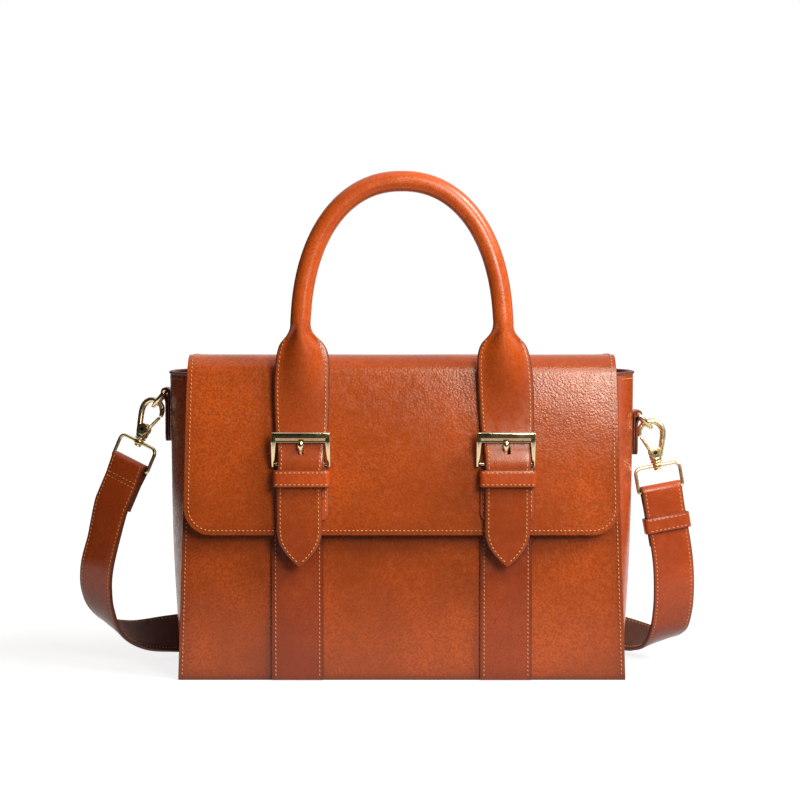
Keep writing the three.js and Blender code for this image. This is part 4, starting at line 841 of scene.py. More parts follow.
@dataclass
class Flap:
    """The flap: anchored on the back, bent over the top and hanging down the front, with its cloth lining."""

    top: float = 218.3
    fall: float = 2.2
    bottom: float = 98.7
    front: float = -60.0
    back: float = 52.5
    width_top: float = 284.0
    width_bottom: float = 290.0
    back_bend: float = 9.0
    lean: float = 4.6
    lean_from: float = 140.0
    lean_to: float = 205.0
    corner: float = 18.6
    leather: float = 2.2
    lining_inset: float = 5.0
    lining: float = 0.8
    gap: float = 0.3
    stitch_inset: float = 3.0
    anchor_top: float = 207.3
    anchor_height: float = 28.0

    def half_at(self, z: float) -> float:
        """Half the flap's width at a height on its front."""
        share = (self.top - z) / (self.top - self.bottom)
        return (self.width_top + (self.width_bottom - self.width_top) * share) / 2

    def rows(self, depth: float, inset: float, back_bend: bool = True) -> list[tuple[float, float, float, Vector]]:
        """The flap's line from its lower front edge to its back.

        Args:
            depth: How far under the outer face.
            inset: How far in from the edge.
            back_bend: Whether it runs down round the back bend.
        Returns:
            Depth, height, half width and the way that the leather faces, row by row.
        """
        made = []
        round_off = self.corner - inset
        for angle in spread(90, 0, 13):
            drop = round_off * (1 - math.sin(math.radians(angle)))
            z = self.bottom + inset + drop
            half = self.half_at(z) - inset - round_off * (1 - math.cos(math.radians(angle)))
            made.append((self.front + depth, z, half, Vector((0, -1, 0))))
        span = self.lean_to - self.lean_from
        for z in spread(self.bottom + inset + round_off, self.lean_to, 30)[1:-1]:
            rise = max(z - self.lean_from, 0.0) / span
            out = Vector((0, -1, 2 * self.lean * rise / span)).normalized()
            y = self.front + self.lean * rise ** 2
            made.append((y - depth * out.y, z - depth * out.z, self.half_at(z) - inset, out))
        tilt = math.atan(2 * self.lean / span)
        bend = (self.top - self.lean_to) / (1 - math.sin(tilt))
        centre = (self.front + self.lean + bend * math.cos(tilt), self.top - bend)
        for angle in spread(180 - math.degrees(tilt), 90, 17):
            out = Vector((0, math.cos(math.radians(angle)), math.sin(math.radians(angle))))
            reach = bend - depth
            z = centre[1] + reach * out.z
            made.append((centre[0] + reach * out.y, z, self.half_at(z) - inset, out))
        hinge = (self.back - self.back_bend, self.top - self.fall - self.back_bend)
        for y in spread(centre[0], hinge[0], 18)[1:-1]:
            drop = self.fall * smooth_step(centre[0], hinge[0], y)
            made.append((y, self.top - drop - depth, self.half_at(self.top) - inset, Vector((0, 0, 1))))
        for angle in spread(90, 0, 13) if back_bend else [90]:
            out = Vector((0, math.cos(math.radians(angle)), math.sin(math.radians(angle))))
            reach = self.back_bend - depth
            made.append((hinge[0] + reach * out.y, hinge[1] + reach * out.z, self.half_at(self.top) - inset, out))
        return made

    def laid(self, rows: Sequence[tuple[float, float, float, Vector]], columns: int, slack: float
             ) -> bmesh.types.BMesh:
        """A sheet over the rows, a little uneven as hide is.

        Args:
            rows: What the method of that name gives.
            columns: Faces across.
            slack: How far it wavers, in millimetres.
        Returns:
            The open sheet.
        """
        last = len(rows) - 1

        def place(across: float, up: float) -> Vector:
            y, z, half, out = rows[round(up * last)]
            x = (2 * across - 1) * half
            ripple = slack * noise.noise(Vector((x / 50, y / 40 + 9, z / 40)))
            return mm(x, y + out.y * (ripple - slack), z + out.z * (ripple - slack))

        def darkened(across: float, up: float) -> float:
            y, z, half, _ = rows[round(up * last)]
            edge = min(min(across, 1 - across) * 2 * half, max(z - self.bottom, 0.0) if y < self.front + 1 else 99.0)
            return 0.3 * math.exp(-edge / 5)

        return sheet(place, columns, last, darkened)

    def build(self) -> None:
        """Builds the flap, its stitches, its lining and its anchor."""
        level = self.top - self.fall
        crossing = ("bag", "flap", mm(0, 49.5, level), mm(0, 40, level))
        dressing = Dressing("flap", (Finish.HIDE, Finish.EDGE, Finish.FLESH), ("flap",), blend=crossing)
        dressing.dress("flap_hide", self.laid(self.rows(0, 0), 84, 0.25), self.leather, 0.7)
        rows = self.rows(0, self.stitch_inset)
        sides = [[(mm(way * half, y, z), out) for y, z, half, out in rows] for way in (1, -1)]
        y, z, half, out = rows[0]
        hem = [(mm(x, y, z), out) for x in spread(-half, half, 40)]
        THREAD.sew("flap_stitches", [*sides, hem], dressing)
        under = self.rows(self.leather + self.gap, self.lining_inset, False)
        cloth = Dressing("flap", (Finish.LINING,), ("flap_lining",), "lining_cloth")
        cloth.dress("flap_lining_cloth", self.laid(under, 40, 0.0), self.lining)
        self.anchor()

    def anchor(self) -> None:
        """Builds the flap's sewn anchor on the back panel."""
        half = self.width_top / 2

        def place(across: float, up: float) -> Vector:
            return mm((1 - 2 * across) * half, self.back, self.anchor_top - self.anchor_height * (1 - up))

        dressing = Dressing("bag", (Finish.HIDE, Finish.EDGE), ("flap_anchor",))
        dressing.dress("flap_anchor_hide", sheet(place, 50, 8), self.leather, 0.6)
        low = self.anchor_top - self.anchor_height
        rows = [[(mm(x, self.back + 0.1, z), Vector((0, 1, 0))) for x in spread(-half + 3, half - 3, 30)]
                for z in (low + 3, self.anchor_top - 4)]
        THREAD.sew("flap_anchor_stitches", rows, dressing)


# Handle


@dataclass
class Handle:
    """The rolled handle with its padded tabs and the pointed straps that run on through the buckles."""

    half_span: float = 66.5
    rise: float = 100.0
    power: float = 2.2
    radius: float = 6.75
    centre: float = -67.05
    neck: float = 232.0
    strap_x: float = 68.0
    flange: float = 2.9
    margin: float = 3.7
    slot: float = 1.8
    slot_low: float = 153.0
    slot_high: float = 158.3
    tip: float = 78.5
    stitch_inset: float = 2.5
    core: float = 4.2
    core_from: float = 6.5
    arch_steps: int = 72

    WIDTHS = ((78.5, 0.5), (80.1, 2.6), (84.7, 7.4), (89.8, 11.4), (94.9, 13.9), (100, 15.0), (104, 15.1),
              (150, 15.1), (158, 15.7), (167, 17.3), (186, 18.2), (206, 18.2), (213, 17.8), (219, 17.0),
              (224, 15.4), (228, 13.1), (232, 10.6), (236, 8.2), (239.5, 6.75))
    BACKS = ((78.5, -61.7), (99, -62.5), (114.7, -63.7), (130.6, -64.8), (136.2, -66.0), (146.3, -67.0),
             (153.9, -65.4), (158.3, -63.4), (164.5, -62.2), (171.5, -61.5), (180.5, -61.1), (193, -61.0),
             (206, -61.0), (222, -61.0), (234.5, -60.3))
    BULGES = ((160, 0.0), (172, 0.2), (182, 0.7), (193, 2.0), (205, 4.7), (214, 6.8), (222, 8.2), (234, 10.6))
    # How far each strap sits to the right of its place, as handwork does
    SHIFTS = {Hand.LEFT: ((78.5, 0.3), (135, 0.6), (155, 1.7), (208, 2.0), (219, 1.6), (227, 0.7), (233, 0.0)),
              Hand.RIGHT: ((78.5, 1.8), (150, 1.8), (175, 1.3), (205, 0.3), (222, 0.0))}
    FRONT_SHARES = (0.985, 0.94, 0.86, 0.74, 0.6, 0.45, 0.3)
    BACK_SHARES = (0.985, 0.9, 0.6)

    def shares(self, half: float, marks: Sequence[float]) -> list[float]:
        """Marks from the right edge to the left, with a pair for the prong's slot."""
        right = [*marks, min(self.slot / half, 0.2)]
        return [*right, *[-s for s in reversed(right)]]

    def flat_section(self, z: float) -> list[tuple[float, float]]:
        """A strap's or tab's section as across and front distances from the handle's axis plane."""
        half, back = curve_through(self.WIDTHS, z), curve_through(self.BACKS, z)
        bulge = curve_through(self.BULGES, z)
        front = back - self.flange
        pad = max(half - self.margin, 0.5)
        lip = min(0.8, half * 0.3)

        def crown(u: float) -> float:
            swell = max(1 - (u / pad) ** 2, 0.0) ** 1.25
            curl = lip * max((abs(u) / half - 0.9) / 0.1, 0.0) ** 2
            return front - bulge * swell + curl

        over = [(s * half, crown(s * half)) for s in self.shares(half, self.FRONT_SHARES)]
        under = [(-s * half, back) for s in self.shares(half, self.BACK_SHARES)]
        left = [(-half, front + 1.0), (-half, back - 0.7)]
        right = [(half, back - 0.7), (half, front + 1.0)]
        return [*over, *left, *under, *right]

    def round_section(self) -> list[tuple[float, float]]:
        """The rolled handle's section with the same count of points, round its own axis."""
        low = math.sin(math.radians(4))
        high = math.cos(math.radians(4))
        over = [(s, -math.sqrt(1 - s * s)) for s in self.shares(self.radius, self.FRONT_SHARES)]
        under = [(-s, math.sqrt(1 - s * s)) for s in self.shares(self.radius, self.BACK_SHARES)]
        left = [(-high, -low), (-high, low)]
        right = [(high, low), (high, -low)]
        return [(u * self.radius, v * self.radius) for u, v in [*over, *left, *under, *right]]

    def middle(self, hand: Hand, z: float) -> float:
        """Where the strap's middle is at a height."""
        aside = self.strap_x + (self.half_span - self.strap_x) * smooth_step(195, 234, z)
        return hand.value * aside + curve_through(self.SHIFTS[hand], z)

    def upright_row(self, hand: Hand, z: float) -> list[Vector]:
        """The section at a height of one tab, turning round towards the neck."""
        share = smooth_step(225, 240, z)
        x = self.middle(hand, z)
        flip = -hand.value
        rows = []
        for (u, y), (ru, rv) in zip(self.flat_section(z), self.round_section()):
            across, depth = u + (ru - u) * share, y + (self.centre + rv - y) * share
            rows.append(mm(x + flip * across, depth, z))
        return rows

    def arch_point(self, angle: float) -> tuple[float, float, float]:
        """The handle's middle at an angle of the arch, in millimetres."""
        c, s = math.cos(math.radians(angle)), math.sin(math.radians(angle))
        grow = 2 / self.power
        return (self.half_span * math.copysign(abs(c) ** grow, c), self.centre,
                self.neck + self.rise * abs(s) ** grow)

    def arch_row(self, angle: float) -> list[Vector]:
        """The section at an angle of the arch, from 180 degrees on the left to 0 on the right."""
        x, _, z = self.arch_point(angle)
        (x0, _, z0), (x1, _, z1) = self.arch_point(angle + 0.5), self.arch_point(angle - 0.5)
        tangent = Vector((x1 - x0, 0, z1 - z0)).normalized()
        across = Vector((tangent.z, 0, -tangent.x))
        return [mm(x, self.centre + v, z) + across * (u * MM) for u, v in self.round_section()]

    def heights(self) -> list[float]:
        """Heights of the sections from the point to the neck."""
        point = [self.tip + 22 * s for s in (0, 0.03, 0.07, 0.12, 0.2, 0.3, 0.4, 0.5, 0.62, 0.74, 0.87)]
        lower = spread(self.tip + 22, self.slot_low, 18)
        slot = spread(self.slot_low, self.slot_high, 6)
        upper = spread(self.slot_high, self.neck + 8, 37)
        return [*point, *lower, *slot[1:], *upper[1:]]

    def open_slot(self, skin: Skin, heights: Sequence[float]) -> None:
        """Cuts the prong's slot through both straps."""
        count = len(skin.rows[0])
        middle = len(self.FRONT_SHARES)
        far = len(self.shares(1.0, self.FRONT_SHARES)) + 2 + len(self.BACK_SHARES)
        low, high = heights.index(self.slot_low), heights.index(self.slot_high)
        total = len(skin.rows) - 1
        for rows in (range(low, high), range(total - high, total - low)):
            rims = []
            doomed = []
            for column in (middle, far):
                for r in rows:
                    corners = [skin.rows[r][column], skin.rows[r][(column + 1) % count],
                               skin.rows[r + 1][(column + 1) % count], skin.rows[r + 1][column]]
                    doomed.append(skin.mesh.faces.get(corners))
            edges = {e for f in doomed for e in f.edges}
            rims = [e for e in edges if sum(f in doomed for f in e.link_faces) == 1]
            bmesh.ops.delete(skin.mesh, geom=doomed, context="FACES_ONLY")
            bmesh.ops.bridge_loops(skin.mesh, edges=[e for e in rims if e.is_valid])

    def build(self) -> None:
        """Builds the handle as one piece from tab over the arch to tab, with its stitches."""
        heights = self.heights()
        angles = spread(180, 0, self.arch_steps + 1)
        near = [a for a in angles if min(a, 180 - a) > 5.5]
        rows = [self.upright_row(Hand.LEFT, z) for z in heights]
        rows += [self.arch_row(a) for a in near]
        rows += [self.upright_row(Hand.RIGHT, z) for z in reversed(heights)]
        edges = len(self.shares(1.0, self.FRONT_SHARES))
        backs = len(self.shares(1.0, self.BACK_SHARES))
        faces = [1, *[0] * (edges - 3), 1, *[1] * 3, *[0] * (backs - 1), *[1] * 3]
        skin = through(rows, faces).cap(Face.EDGE.value)
        for k, row in enumerate(skin.rows):
            inside = len(heights) - 6 < k < len(skin.rows) - len(heights) + 5
            for vert in row if inside else ():
                for face in vert.link_faces:
                    face.material_index = 0
        self.open_slot(skin, heights)
        # Painted shade: the tabs are darkest low down and lighter towards the neck, and the arch is left unshaded.
        wear_and_painted_shade = skin.mesh.verts.layers.float.new("darkening_and_painted_shade")
        for vert in skin.mesh.verts:
            z = vert.co.z / MM
            vert[wear_and_painted_shade] = 0.2 + 0.22 * smooth_step(222, 180, z) - 0.2 * smooth_step(226, 240, z)
        bending = ("flap", "handle", mm(0, self.centre, 222), mm(0, self.centre, 242))
        parts = ("handle_cover", "left_handle_strap", "right_handle_strap")
        dressing = Dressing("flap", (Finish.HANDLE, Finish.EDGE), parts, blend=bending, sharp=50.0)
        dressing.dress("handle_hide", skin.mesh)
        # The rope stops short of the bending necks, so that it stays inside at every fold.
        line = [mm(*self.arch_point(a)) for a in spread(180 - self.core_from, self.core_from, 61)]
        rope = tube(line, lambda share: (self.core * MM, self.core * MM), Vector((0, 1, 0)), 12)
        Dressing("handle", (Finish.ROPE,), ("handle_core",), "handle_rope").dress("handle_rope_core", rope)
        seams = []
        for hand in Hand:
            for way in (-1, 1):
                seam = []
                for z in [h for h in heights if 80.5 < h < 229.5]:
                    half, share = curve_through(self.WIDTHS, z), smooth_step(219, 234, z)
                    inset = self.stitch_inset * (1 - 0.35 * share)
                    depth = curve_through(self.BACKS, z) - self.flange
                    round_y = self.centre - self.radius * 0.25
                    x = self.middle(hand, z)
                    seam.append((mm(x + way * max(half - inset, 0.3), depth + (round_y - depth) * share, z),
                                 Vector((0, -1, 0))))
                seams.append(seam)
        THREAD.sew("handle_stitches", seams, dressing)


# Buckles


@dataclass
class BuckleSet:
    """One buckle with its prong, the chape that holds it and the keeper below."""

    hand: Hand
    centre: float = 68.0
    width: float = 38.8
    bar_y: float = -63.5
    bar_z: float = 146.3
    bar_radius: float = 1.5
    chape_half: float = 18.0
    tongue_half: float = 15.4
    thin: float = 1.4
    chape_y: float = -61.0
    chape_low: float = 108.8
    keeper_half: float = 18.6
    keeper_low: float = 131.6
    keeper_high: float = 142.8
    leather_shift: float = 1.8
    keeper_front: float = -72.0
    flap_front: float = -60.3

    METAL_SHIFTS = {Hand.LEFT: 1.5, Hand.RIGHT: 0.5}
    TOP_BAR = ((-67.2, 160.9), (-68.9, 160.9), (-68.9, 162.5), (-70.5, 162.9), (-71.2, 163.6), (-71.2, 167.0),
               (-70.6, 167.7), (-67.2, 167.7))
    # Each arm leans back right below the top bar, with two close rows at the break
    ARM = ((144.4, -63.5, 1.3, 1.9), (151.5, -66.2, 1.8, 2.5), (161.2, -69.1, 2.0, 3.2),
           (161.5, -69.2, 2.0, 3.2), (161.8, -69.2, 2.0, 3.2), (166.0, -69.2, 1.9, 3.3))

    def x(self, offset: float) -> float:
        """A place across the buckle."""
        return self.hand.value * self.centre + self.METAL_SHIFTS[self.hand] + offset

    def leather_x(self, offset: float) -> float:
        """A place across the leather that holds the buckle."""
        return self.hand.value * self.centre + self.leather_shift + offset

    def softened(self, mesh: bmesh.types.BMesh, bevel: float) -> bmesh.types.BMesh:
        """Rounds the sharp edges of a cast bar."""
        bmesh.ops.recalc_face_normals(mesh, faces=mesh.faces)
        sharp = [e for e in mesh.edges if len(e.link_faces) == 2 and e.calc_face_angle() > math.radians(25)]
        bmesh.ops.bevel(mesh, geom=sharp, offset=bevel * MM, offset_type="OFFSET", affect="EDGES", segments=3,
                        profile=0.5, material=-1, clamp_overlap=True)
        return mesh

    def frame(self) -> None:
        """Builds the cast frame: top bar with its ledge, tapering arms and a heel bar."""
        half = self.width / 2
        bar = [[mm(self.x(offset), y, z) for y, z in self.TOP_BAR] for offset in (-half + 1, half - 1)]
        parts = [self.softened(through(bar).cap().mesh, 0.35)]
        for way in (-1, 1):
            rows = []
            for z, y, deep, wide in self.ARM:
                outer, inner = way * half, way * (half - wide)
                rows.append([mm(self.x(outer), y - deep, z), mm(self.x(inner), y - deep, z),
                             mm(self.x(inner), y + deep, z), mm(self.x(outer), y + deep, z)])
            rows.append([p + mm(0, 0, 1.5) for p in rows[-1]])
            parts.append(self.softened(through(rows).cap().mesh, 0.5))
        ends = [mm(self.x(way * (half - 2)), self.bar_y, self.bar_z) for way in (-1, 1)]
        parts.append(cylinder(0.75 * self.bar_radius * MM, *ends))
        name = f"{self.hand.word}_buckle_frame"
        Dressing(f"{self.hand.word}_buckle", (Finish.BRASS,), (name,), "gold_brass", sharp=30.0).dress(
            f"{name}_cast", merged(*parts))

    def prong(self) -> None:
        """Builds the prong: an eye on the heel bar and a bent tongue with a rounded tip."""
        eye, wall = self.bar_radius + 0.3, 1.1
        spine = ((-64.4, 148.6), (-65.6, 150.6), (-67.2, 153.4), (-68.9, 156.2), (-70.2, 157.9), (-70.7, 159.2),
                 (-70.75, 160.4), (-70.75, 161.5))
        radii = (1.2, 1.2, 1.1, 1.2, 1.5, 1.6, 1.5, 0.9)
        line = [mm(self.x(0), y, z) for y, z in spine]
        tongue = tube(line, lambda share: (radii[round(share * 7)] * MM, 1.3 * radii[round(share * 7)] * MM),
                      Vector((1, 0, 0)), 16)
        loop = [mm(self.x(0), self.bar_y + u, self.bar_z + v) for u, v in arc((0, 0), eye + wall / 2, 0, 352, 28)]
        band = tube(loop, lambda share: (wall / 2 * MM, 2.0 * MM), Vector((1, 0, 0)), 12, True)
        name = f"{self.hand.word}_buckle_prong"
        Dressing(f"{self.hand.word}_prong", (Finish.BRASS,), (name,), "gold_brass").dress(
            f"{name}_cast", merged(tongue, band))

    def chape(self) -> None:
        """Builds the leather that turns round the heel bar and runs down the flap."""
        reach = self.bar_radius + 0.3 + self.thin / 2
        rise = [(self.chape_y, z) for z in (self.chape_low, self.chape_low + 0.5, self.chape_low + 1.6,
                                            self.chape_low + 3.2, self.chape_low + 5, 120, 130, 140.8)]
        turn = [(self.bar_y + u, self.bar_z + v) for u, v in arc((0, 0), reach, 0, 180, 13)]
        under = self.chape_y - self.thin - 0.3
        fall = [(self.bar_y - reach + 1.4, self.keeper_high - 1), (under - 0.2, self.keeper_low + 2), (under, 124.0)]
        points = [mm(self.leather_x(0), y, z) for y, z in [*rise, *turn, *fall]]
        stations = along_line(points, Vector((1, 0, 0)), self.chape_half, self.thin)
        for k, station in enumerate(stations):
            left = max(0.0, 1 - (points[k].z / MM - self.chape_low) / 5)
            rounded = self.chape_half - 4.5 * (1 - math.sqrt(1 - left * left))
            station.half = self.tongue_half if k >= len(rise) else rounded
            station.face = -station.face if station.face.y > 0 and k < len(rise) else station.face
        name = f"{self.hand.word}_chape"
        dressing = Dressing("flap", (Finish.SMOOTH, Finish.EDGE, Finish.SMOOTH), (name,))
        dressing.dress(f"{name}_hide", strip(stations))
        rows = [[s.on_face(2.2, way) for s in stations[4:len(rise)]] for way in (-1, 1)]
        THREAD.sew(f"{name}_stitches", rows, dressing)

    def keeper(self) -> None:
        """Builds the leather keeper over the pointed strap, with two rows of stitches."""
        half, bend = self.keeper_half - self.thin / 2, 2.6
        front = self.keeper_front + self.thin / 2
        left = arc((-half + bend, front + bend), bend, 180, 270, 7)
        right = arc((half - bend, front + bend), bend, 270, 360, 7)
        line = [(-half, self.flap_front), (-half, -64.0), *left, (-half / 2, front), (0, front), (half / 2, front),
                *right, (half, -64.0), (half, self.flap_front)]
        middle = (self.keeper_low + self.keeper_high) / 2
        tall = (self.keeper_high - self.keeper_low) / 2
        points = [mm(self.leather_x(u), y, middle) for u, y in line]
        stations = along_line(points, Vector((0, 0, 1)), tall, self.thin)
        name = f"{self.hand.word}_keeper"
        dressing = Dressing("flap", (Finish.SMOOTH, Finish.EDGE, Finish.SMOOTH), (name,))
        dressing.dress(f"{name}_hide", strip(stations))
        rows = [[s.on_face(1.7, way) for s in stations[5:-5]] for way in (-1, 1)]
        THREAD.sew(f"{name}_stitches", rows, dressing)

    def build(self) -> None:
        """Builds the buckle and its leather."""
        self.frame()
        self.prong()
        self.chape()
        self.keeper()


# Clasps


@dataclass
class Clasp:
    """A ring on its tab, and the snap hook that hangs the strap from it."""

    hand: Hand
    ring_height: float
    tab_length: float
    tail: float
    droop: float
    tilt: float
    turn: float
    ring_wire: float = 1.4
    ring_heft: float = 1.65
    ring_half: float = 10.6
    ring_depth: float = 13.5
    ring_corner: float = 2.2
    tab_half: float = 8.1
    thin: float = 1.4
    eye: float = 8.1
    hang: float = 3.7
    claw_wide: float = 1.95
    claw_deep: float = 2.0
    claw_flare: float = 0.3
    pivot: float = -13.6
    barrel: float = 4.2
    barrel_deep: float = 2.8
    loop_half: float = 15.75
    loop_top: float = -23.0
    loop_low: float = -39.8
    loop_wire: float = 1.25
    gap: float = 0.3

    @property
    def wall(self) -> float:
        """How far out the gusset's face is behind the ring, in millimetres."""
        return Body().gusset_x(self.ring_height, 0) + Body().leather / 2

    @property
    def ring_pivot(self) -> Vector:
        """Where the ring turns in its tab, in millimetres."""
        out = self.wall + self.gap + self.thin + self.gap + self.ring_wire
        return Vector((self.hand.value * out, 0, self.ring_height))

    @property
    def ring_out(self) -> Vector:
        """The way that the ring's bow hangs out."""
        angle = math.radians(self.droop)
        return Vector((self.hand.value * math.cos(angle), 0, -math.sin(angle)))

    @property
    def turning(self) -> Matrix:
        """How the clasp is turned."""
        tilt = Matrix.Rotation(math.radians(self.tilt), 4, "Y")
        return tilt @ Matrix.Rotation(math.radians(self.turn), 4, "Z")

    @property
    def stand(self) -> Matrix:
        """The clasp's own frame in metres, with the hook's eye at its origin and its axis upwards."""
        up = self.turning @ Vector((0, 0, 1))
        eye = self.ring_pivot + self.ring_out * self.ring_depth - up * self.hang
        return Matrix.Translation(eye * MM) @ self.turning

    @property
    def hook_stand(self) -> Matrix:
        """The hook's frame in metres, turned so that its gate faces the bag."""
        half_turn = math.pi if self.hand is Hand.LEFT else 0.0
        return self.stand @ Matrix.Rotation(half_turn, 4, "Z")

    def tab(self) -> None:
        """Builds the ring's leather tab on the gusset."""
        side = self.hand.value
        reach = self.ring_wire + self.gap + self.thin / 2
        middle = abs(self.ring_pivot.x)
        inner = self.wall + self.gap + self.thin / 2
        outer = inner + self.thin + self.gap
        low = self.ring_height - self.tab_length
        over = [(middle + u, self.ring_height + v) for u, v in arc((0, 0), reach, 180, 0, 13)]
        corners = [low, low + 0.5, low + 1.6, low + 3.2, low + 5]
        bulge = middle + reach - outer
        drawn = [(outer + bulge * share, self.ring_height - drop)
                 for share, drop in ((0.62, 2.4), (0.25, 4.4), (0.06, 6.4), (0.0, 8.5))]
        line = [*[(inner, z) for z in corners], *over, *drawn, *[(outer, z) for z in reversed(corners)]]
        points = [mm(side * x, 0, z) for x, z in line]
        stations = along_line(points, Vector((0, 1, 0)), self.tab_half, self.thin, side)
        for station in stations:
            left = max(0.0, 1 - (station.at.z / MM - low) / 5)
            station.half = self.tab_half - 5 * (1 - math.sqrt(1 - left * left))
        name = f"{self.hand.word}_ring_tab"
        dressing = Dressing("bag", (Finish.SMOOTH, Finish.EDGE, Finish.FLESH), (name,))
        dressing.dress(f"{name}_hide", strip(stations))
        rows = [[s.on_face(1.8, way) for s in stations[-6:-2]] for way in (-1, 1)]
        THREAD.sew(f"{name}_stitches", rows, dressing)

    def ring(self) -> None:
        """Builds the D-ring."""
        half, corner = self.ring_half, self.ring_corner
        line = [(0.0, 0.0), (half - corner, 0.0)]
        line += arc((half - corner, corner), corner, -90, 0, 8)[1:]
        line += arc((0, self.ring_depth - half), half, 0, 180, 40)
        line += arc((-half + corner, corner), corner, 180, 270, 8)
        out, across = self.ring_out, Vector((0, 1, 0))
        points = [(self.ring_pivot + across * u + out * v) * MM for u, v in line]
        heft = self.ring_heft * MM
        made = tube(points, lambda share: (heft, heft), out.cross(across), 18, True)
        name = f"{self.hand.word}_d_ring"
        Dressing(f"{self.hand.word}_ring", (Finish.BRASS,), (name,), "gold_brass").dress(f"{name}_cast", made)

    def metal(self, node: str, body: str, mesh: bmesh.types.BMesh, finish: Finish = Finish.GILT
              ) -> bpy.types.Object:
        """Puts a cast piece into the clasp's frame.

        Args:
            node: The CAD node that it stands for, without its hand.
            body: The body that it moves with, without its hand.
            mesh: Its shape in the clasp's own frame.
            finish: What it is made of.
        Returns:
            The finished piece.
        """
        place = self.stand if body == "loop" else self.hook_stand
        bmesh.ops.transform(mesh, matrix=place, verts=mesh.verts)
        name = f"{self.hand.word}_{node}"
        slot = "snap_steel" if finish is Finish.STEEL else "gold_brass"
        return Dressing(f"{self.hand.word}_{body}", (finish,), (name,), slot).dress(f"{name}_cast", mesh)

    def hook(self) -> None:
        """Builds the hook's body: a claw round the eye, a slotted barrel and a post with its knob."""
        eye, deep = self.eye, Vector((0, 1, 0))
        root = ((0.4, 1.25), (0.52, 1.0), (0.65, 0.8), (0.76, 0.6), (0.86, 0.42), (0.94, 0.25), (0.985, 0.11))
        line = [(eye * u, self.pivot * v) for u, v in root]
        for angle in spread(0, 186, 35):
            reach = eye + self.claw_flare * smooth_step(90, 180, angle)
            line.append((reach * math.cos(math.radians(angle)), reach * math.sin(math.radians(angle))))
        points = [mm(x, 0, z) for x, z in line]

        def size(share: float) -> tuple[float, float]:
            tip = min(1.0, 0.72 + 1.4 * (1 - share)) * (1.0 if share < 0.99 else 0.8)
            heft = 1 + 0.1 * math.sin(math.pi * min(share * 1.5, 1))
            return self.claw_wide * tip * heft * MM, self.claw_deep * tip * heft * MM

        claw = tube(points, size, deep, 18)
        middle = (1.3 + self.barrel_deep) / 2
        cheeks = [cylinder(self.barrel * MM, mm(0, way * 1.3, self.pivot), mm(0, way * self.barrel_deep, self.pivot),
                           0.4 * MM) for way in (-1, 1)]
        webs = [tube([mm(0, way * middle, -19.2), mm(0, way * middle, self.pivot - 0.6)],
                     lambda share: ((3.5 + 0.5 * share) * MM, 0.74 * MM), deep, 18) for way in (-1, 1)]
        neck = cylinder(3.4 * MM, mm(0, 0, -20.8), mm(0, 0, self.pivot - 3.7), 0.6 * MM)
        plate = cylinder(3.9 * MM, mm(0, 0, -21.0), mm(0, 0, -19.7), 0.4 * MM)
        post = cylinder(2.2 * MM, mm(0, 0, -25.8), mm(0, 0, -20.5))
        knob = bmesh.new()
        bmesh.ops.create_uvsphere(knob, u_segments=24, v_segments=14, radius=1.0,
                                  matrix=Matrix.Translation(mm(0, 0, -25.6)) @ Matrix.Diagonal(
                                      (2.6 * MM, 2.6 * MM, 0.9 * MM, 1)))
        self.metal("hook_body", "hook", merged(claw, *cheeks, *webs, neck, plate, post, knob))

    def gate(self) -> None:
        """Builds the gate, its pin and the leaf spring between the cheeks."""
        foot, tip = (-1.9, self.pivot - 0.8), (-7.9, -1.5)
        deep = Vector((0, 1, 0))
        line = [mm(foot[0] + (tip[0] - foot[0]) * s, 0, foot[1] + (tip[1] - foot[1]) * s) for s in spread(0, 1, 15)]

        def size(share: float) -> tuple[float, float]:
            broad = 0.9 + 0.7 * smooth_step(0.3, 0.45, share)
            close = 1.0 if share < 0.96 else 0.7
            return (1.25 - 0.3 * share) * close * MM, broad * close * MM

        arm = tube(line, size, deep, 14)
        hub = cylinder(3.2 * MM, mm(0, -0.95, self.pivot), mm(0, 0.95, self.pivot), 0.2 * MM)
        self.metal("hook_gate", "gate", merged(arm, hub))
        pin = [cylinder(1.1 * MM, mm(0, -2.9, self.pivot), mm(0, 2.9, self.pivot))]
        for way in (-1, 1):
            head = bmesh.new()
            bmesh.ops.create_uvsphere(head, u_segments=20, v_segments=10, radius=1.0,
                                      matrix=Matrix.Translation(mm(0, way * 2.85, self.pivot)) @ Matrix.Diagonal(
                                          (1.5 * MM, 0.35 * MM, 1.5 * MM, 1)))
            pin.append(head)
        self.metal("gate_pin", "hook", merged(*pin), Finish.PIN)
        bent = ((2.9, -15.6), (2.6, -13.4), (1.9, -11.6), (0.9, -10.6), (-0.4, -10.3))
        leaf = tube([mm(x, 0, z) for x, z in bent], lambda share: (0.15 * MM, 0.7 * MM), deep, 8)
        spring = self.metal("gate_spring", "hook", leaf, Finish.STEEL)
        turn = self.hook_stand.to_3x3()
        tuple(self.hook_stand @ mm(3, 0, -13))
        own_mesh(spring)

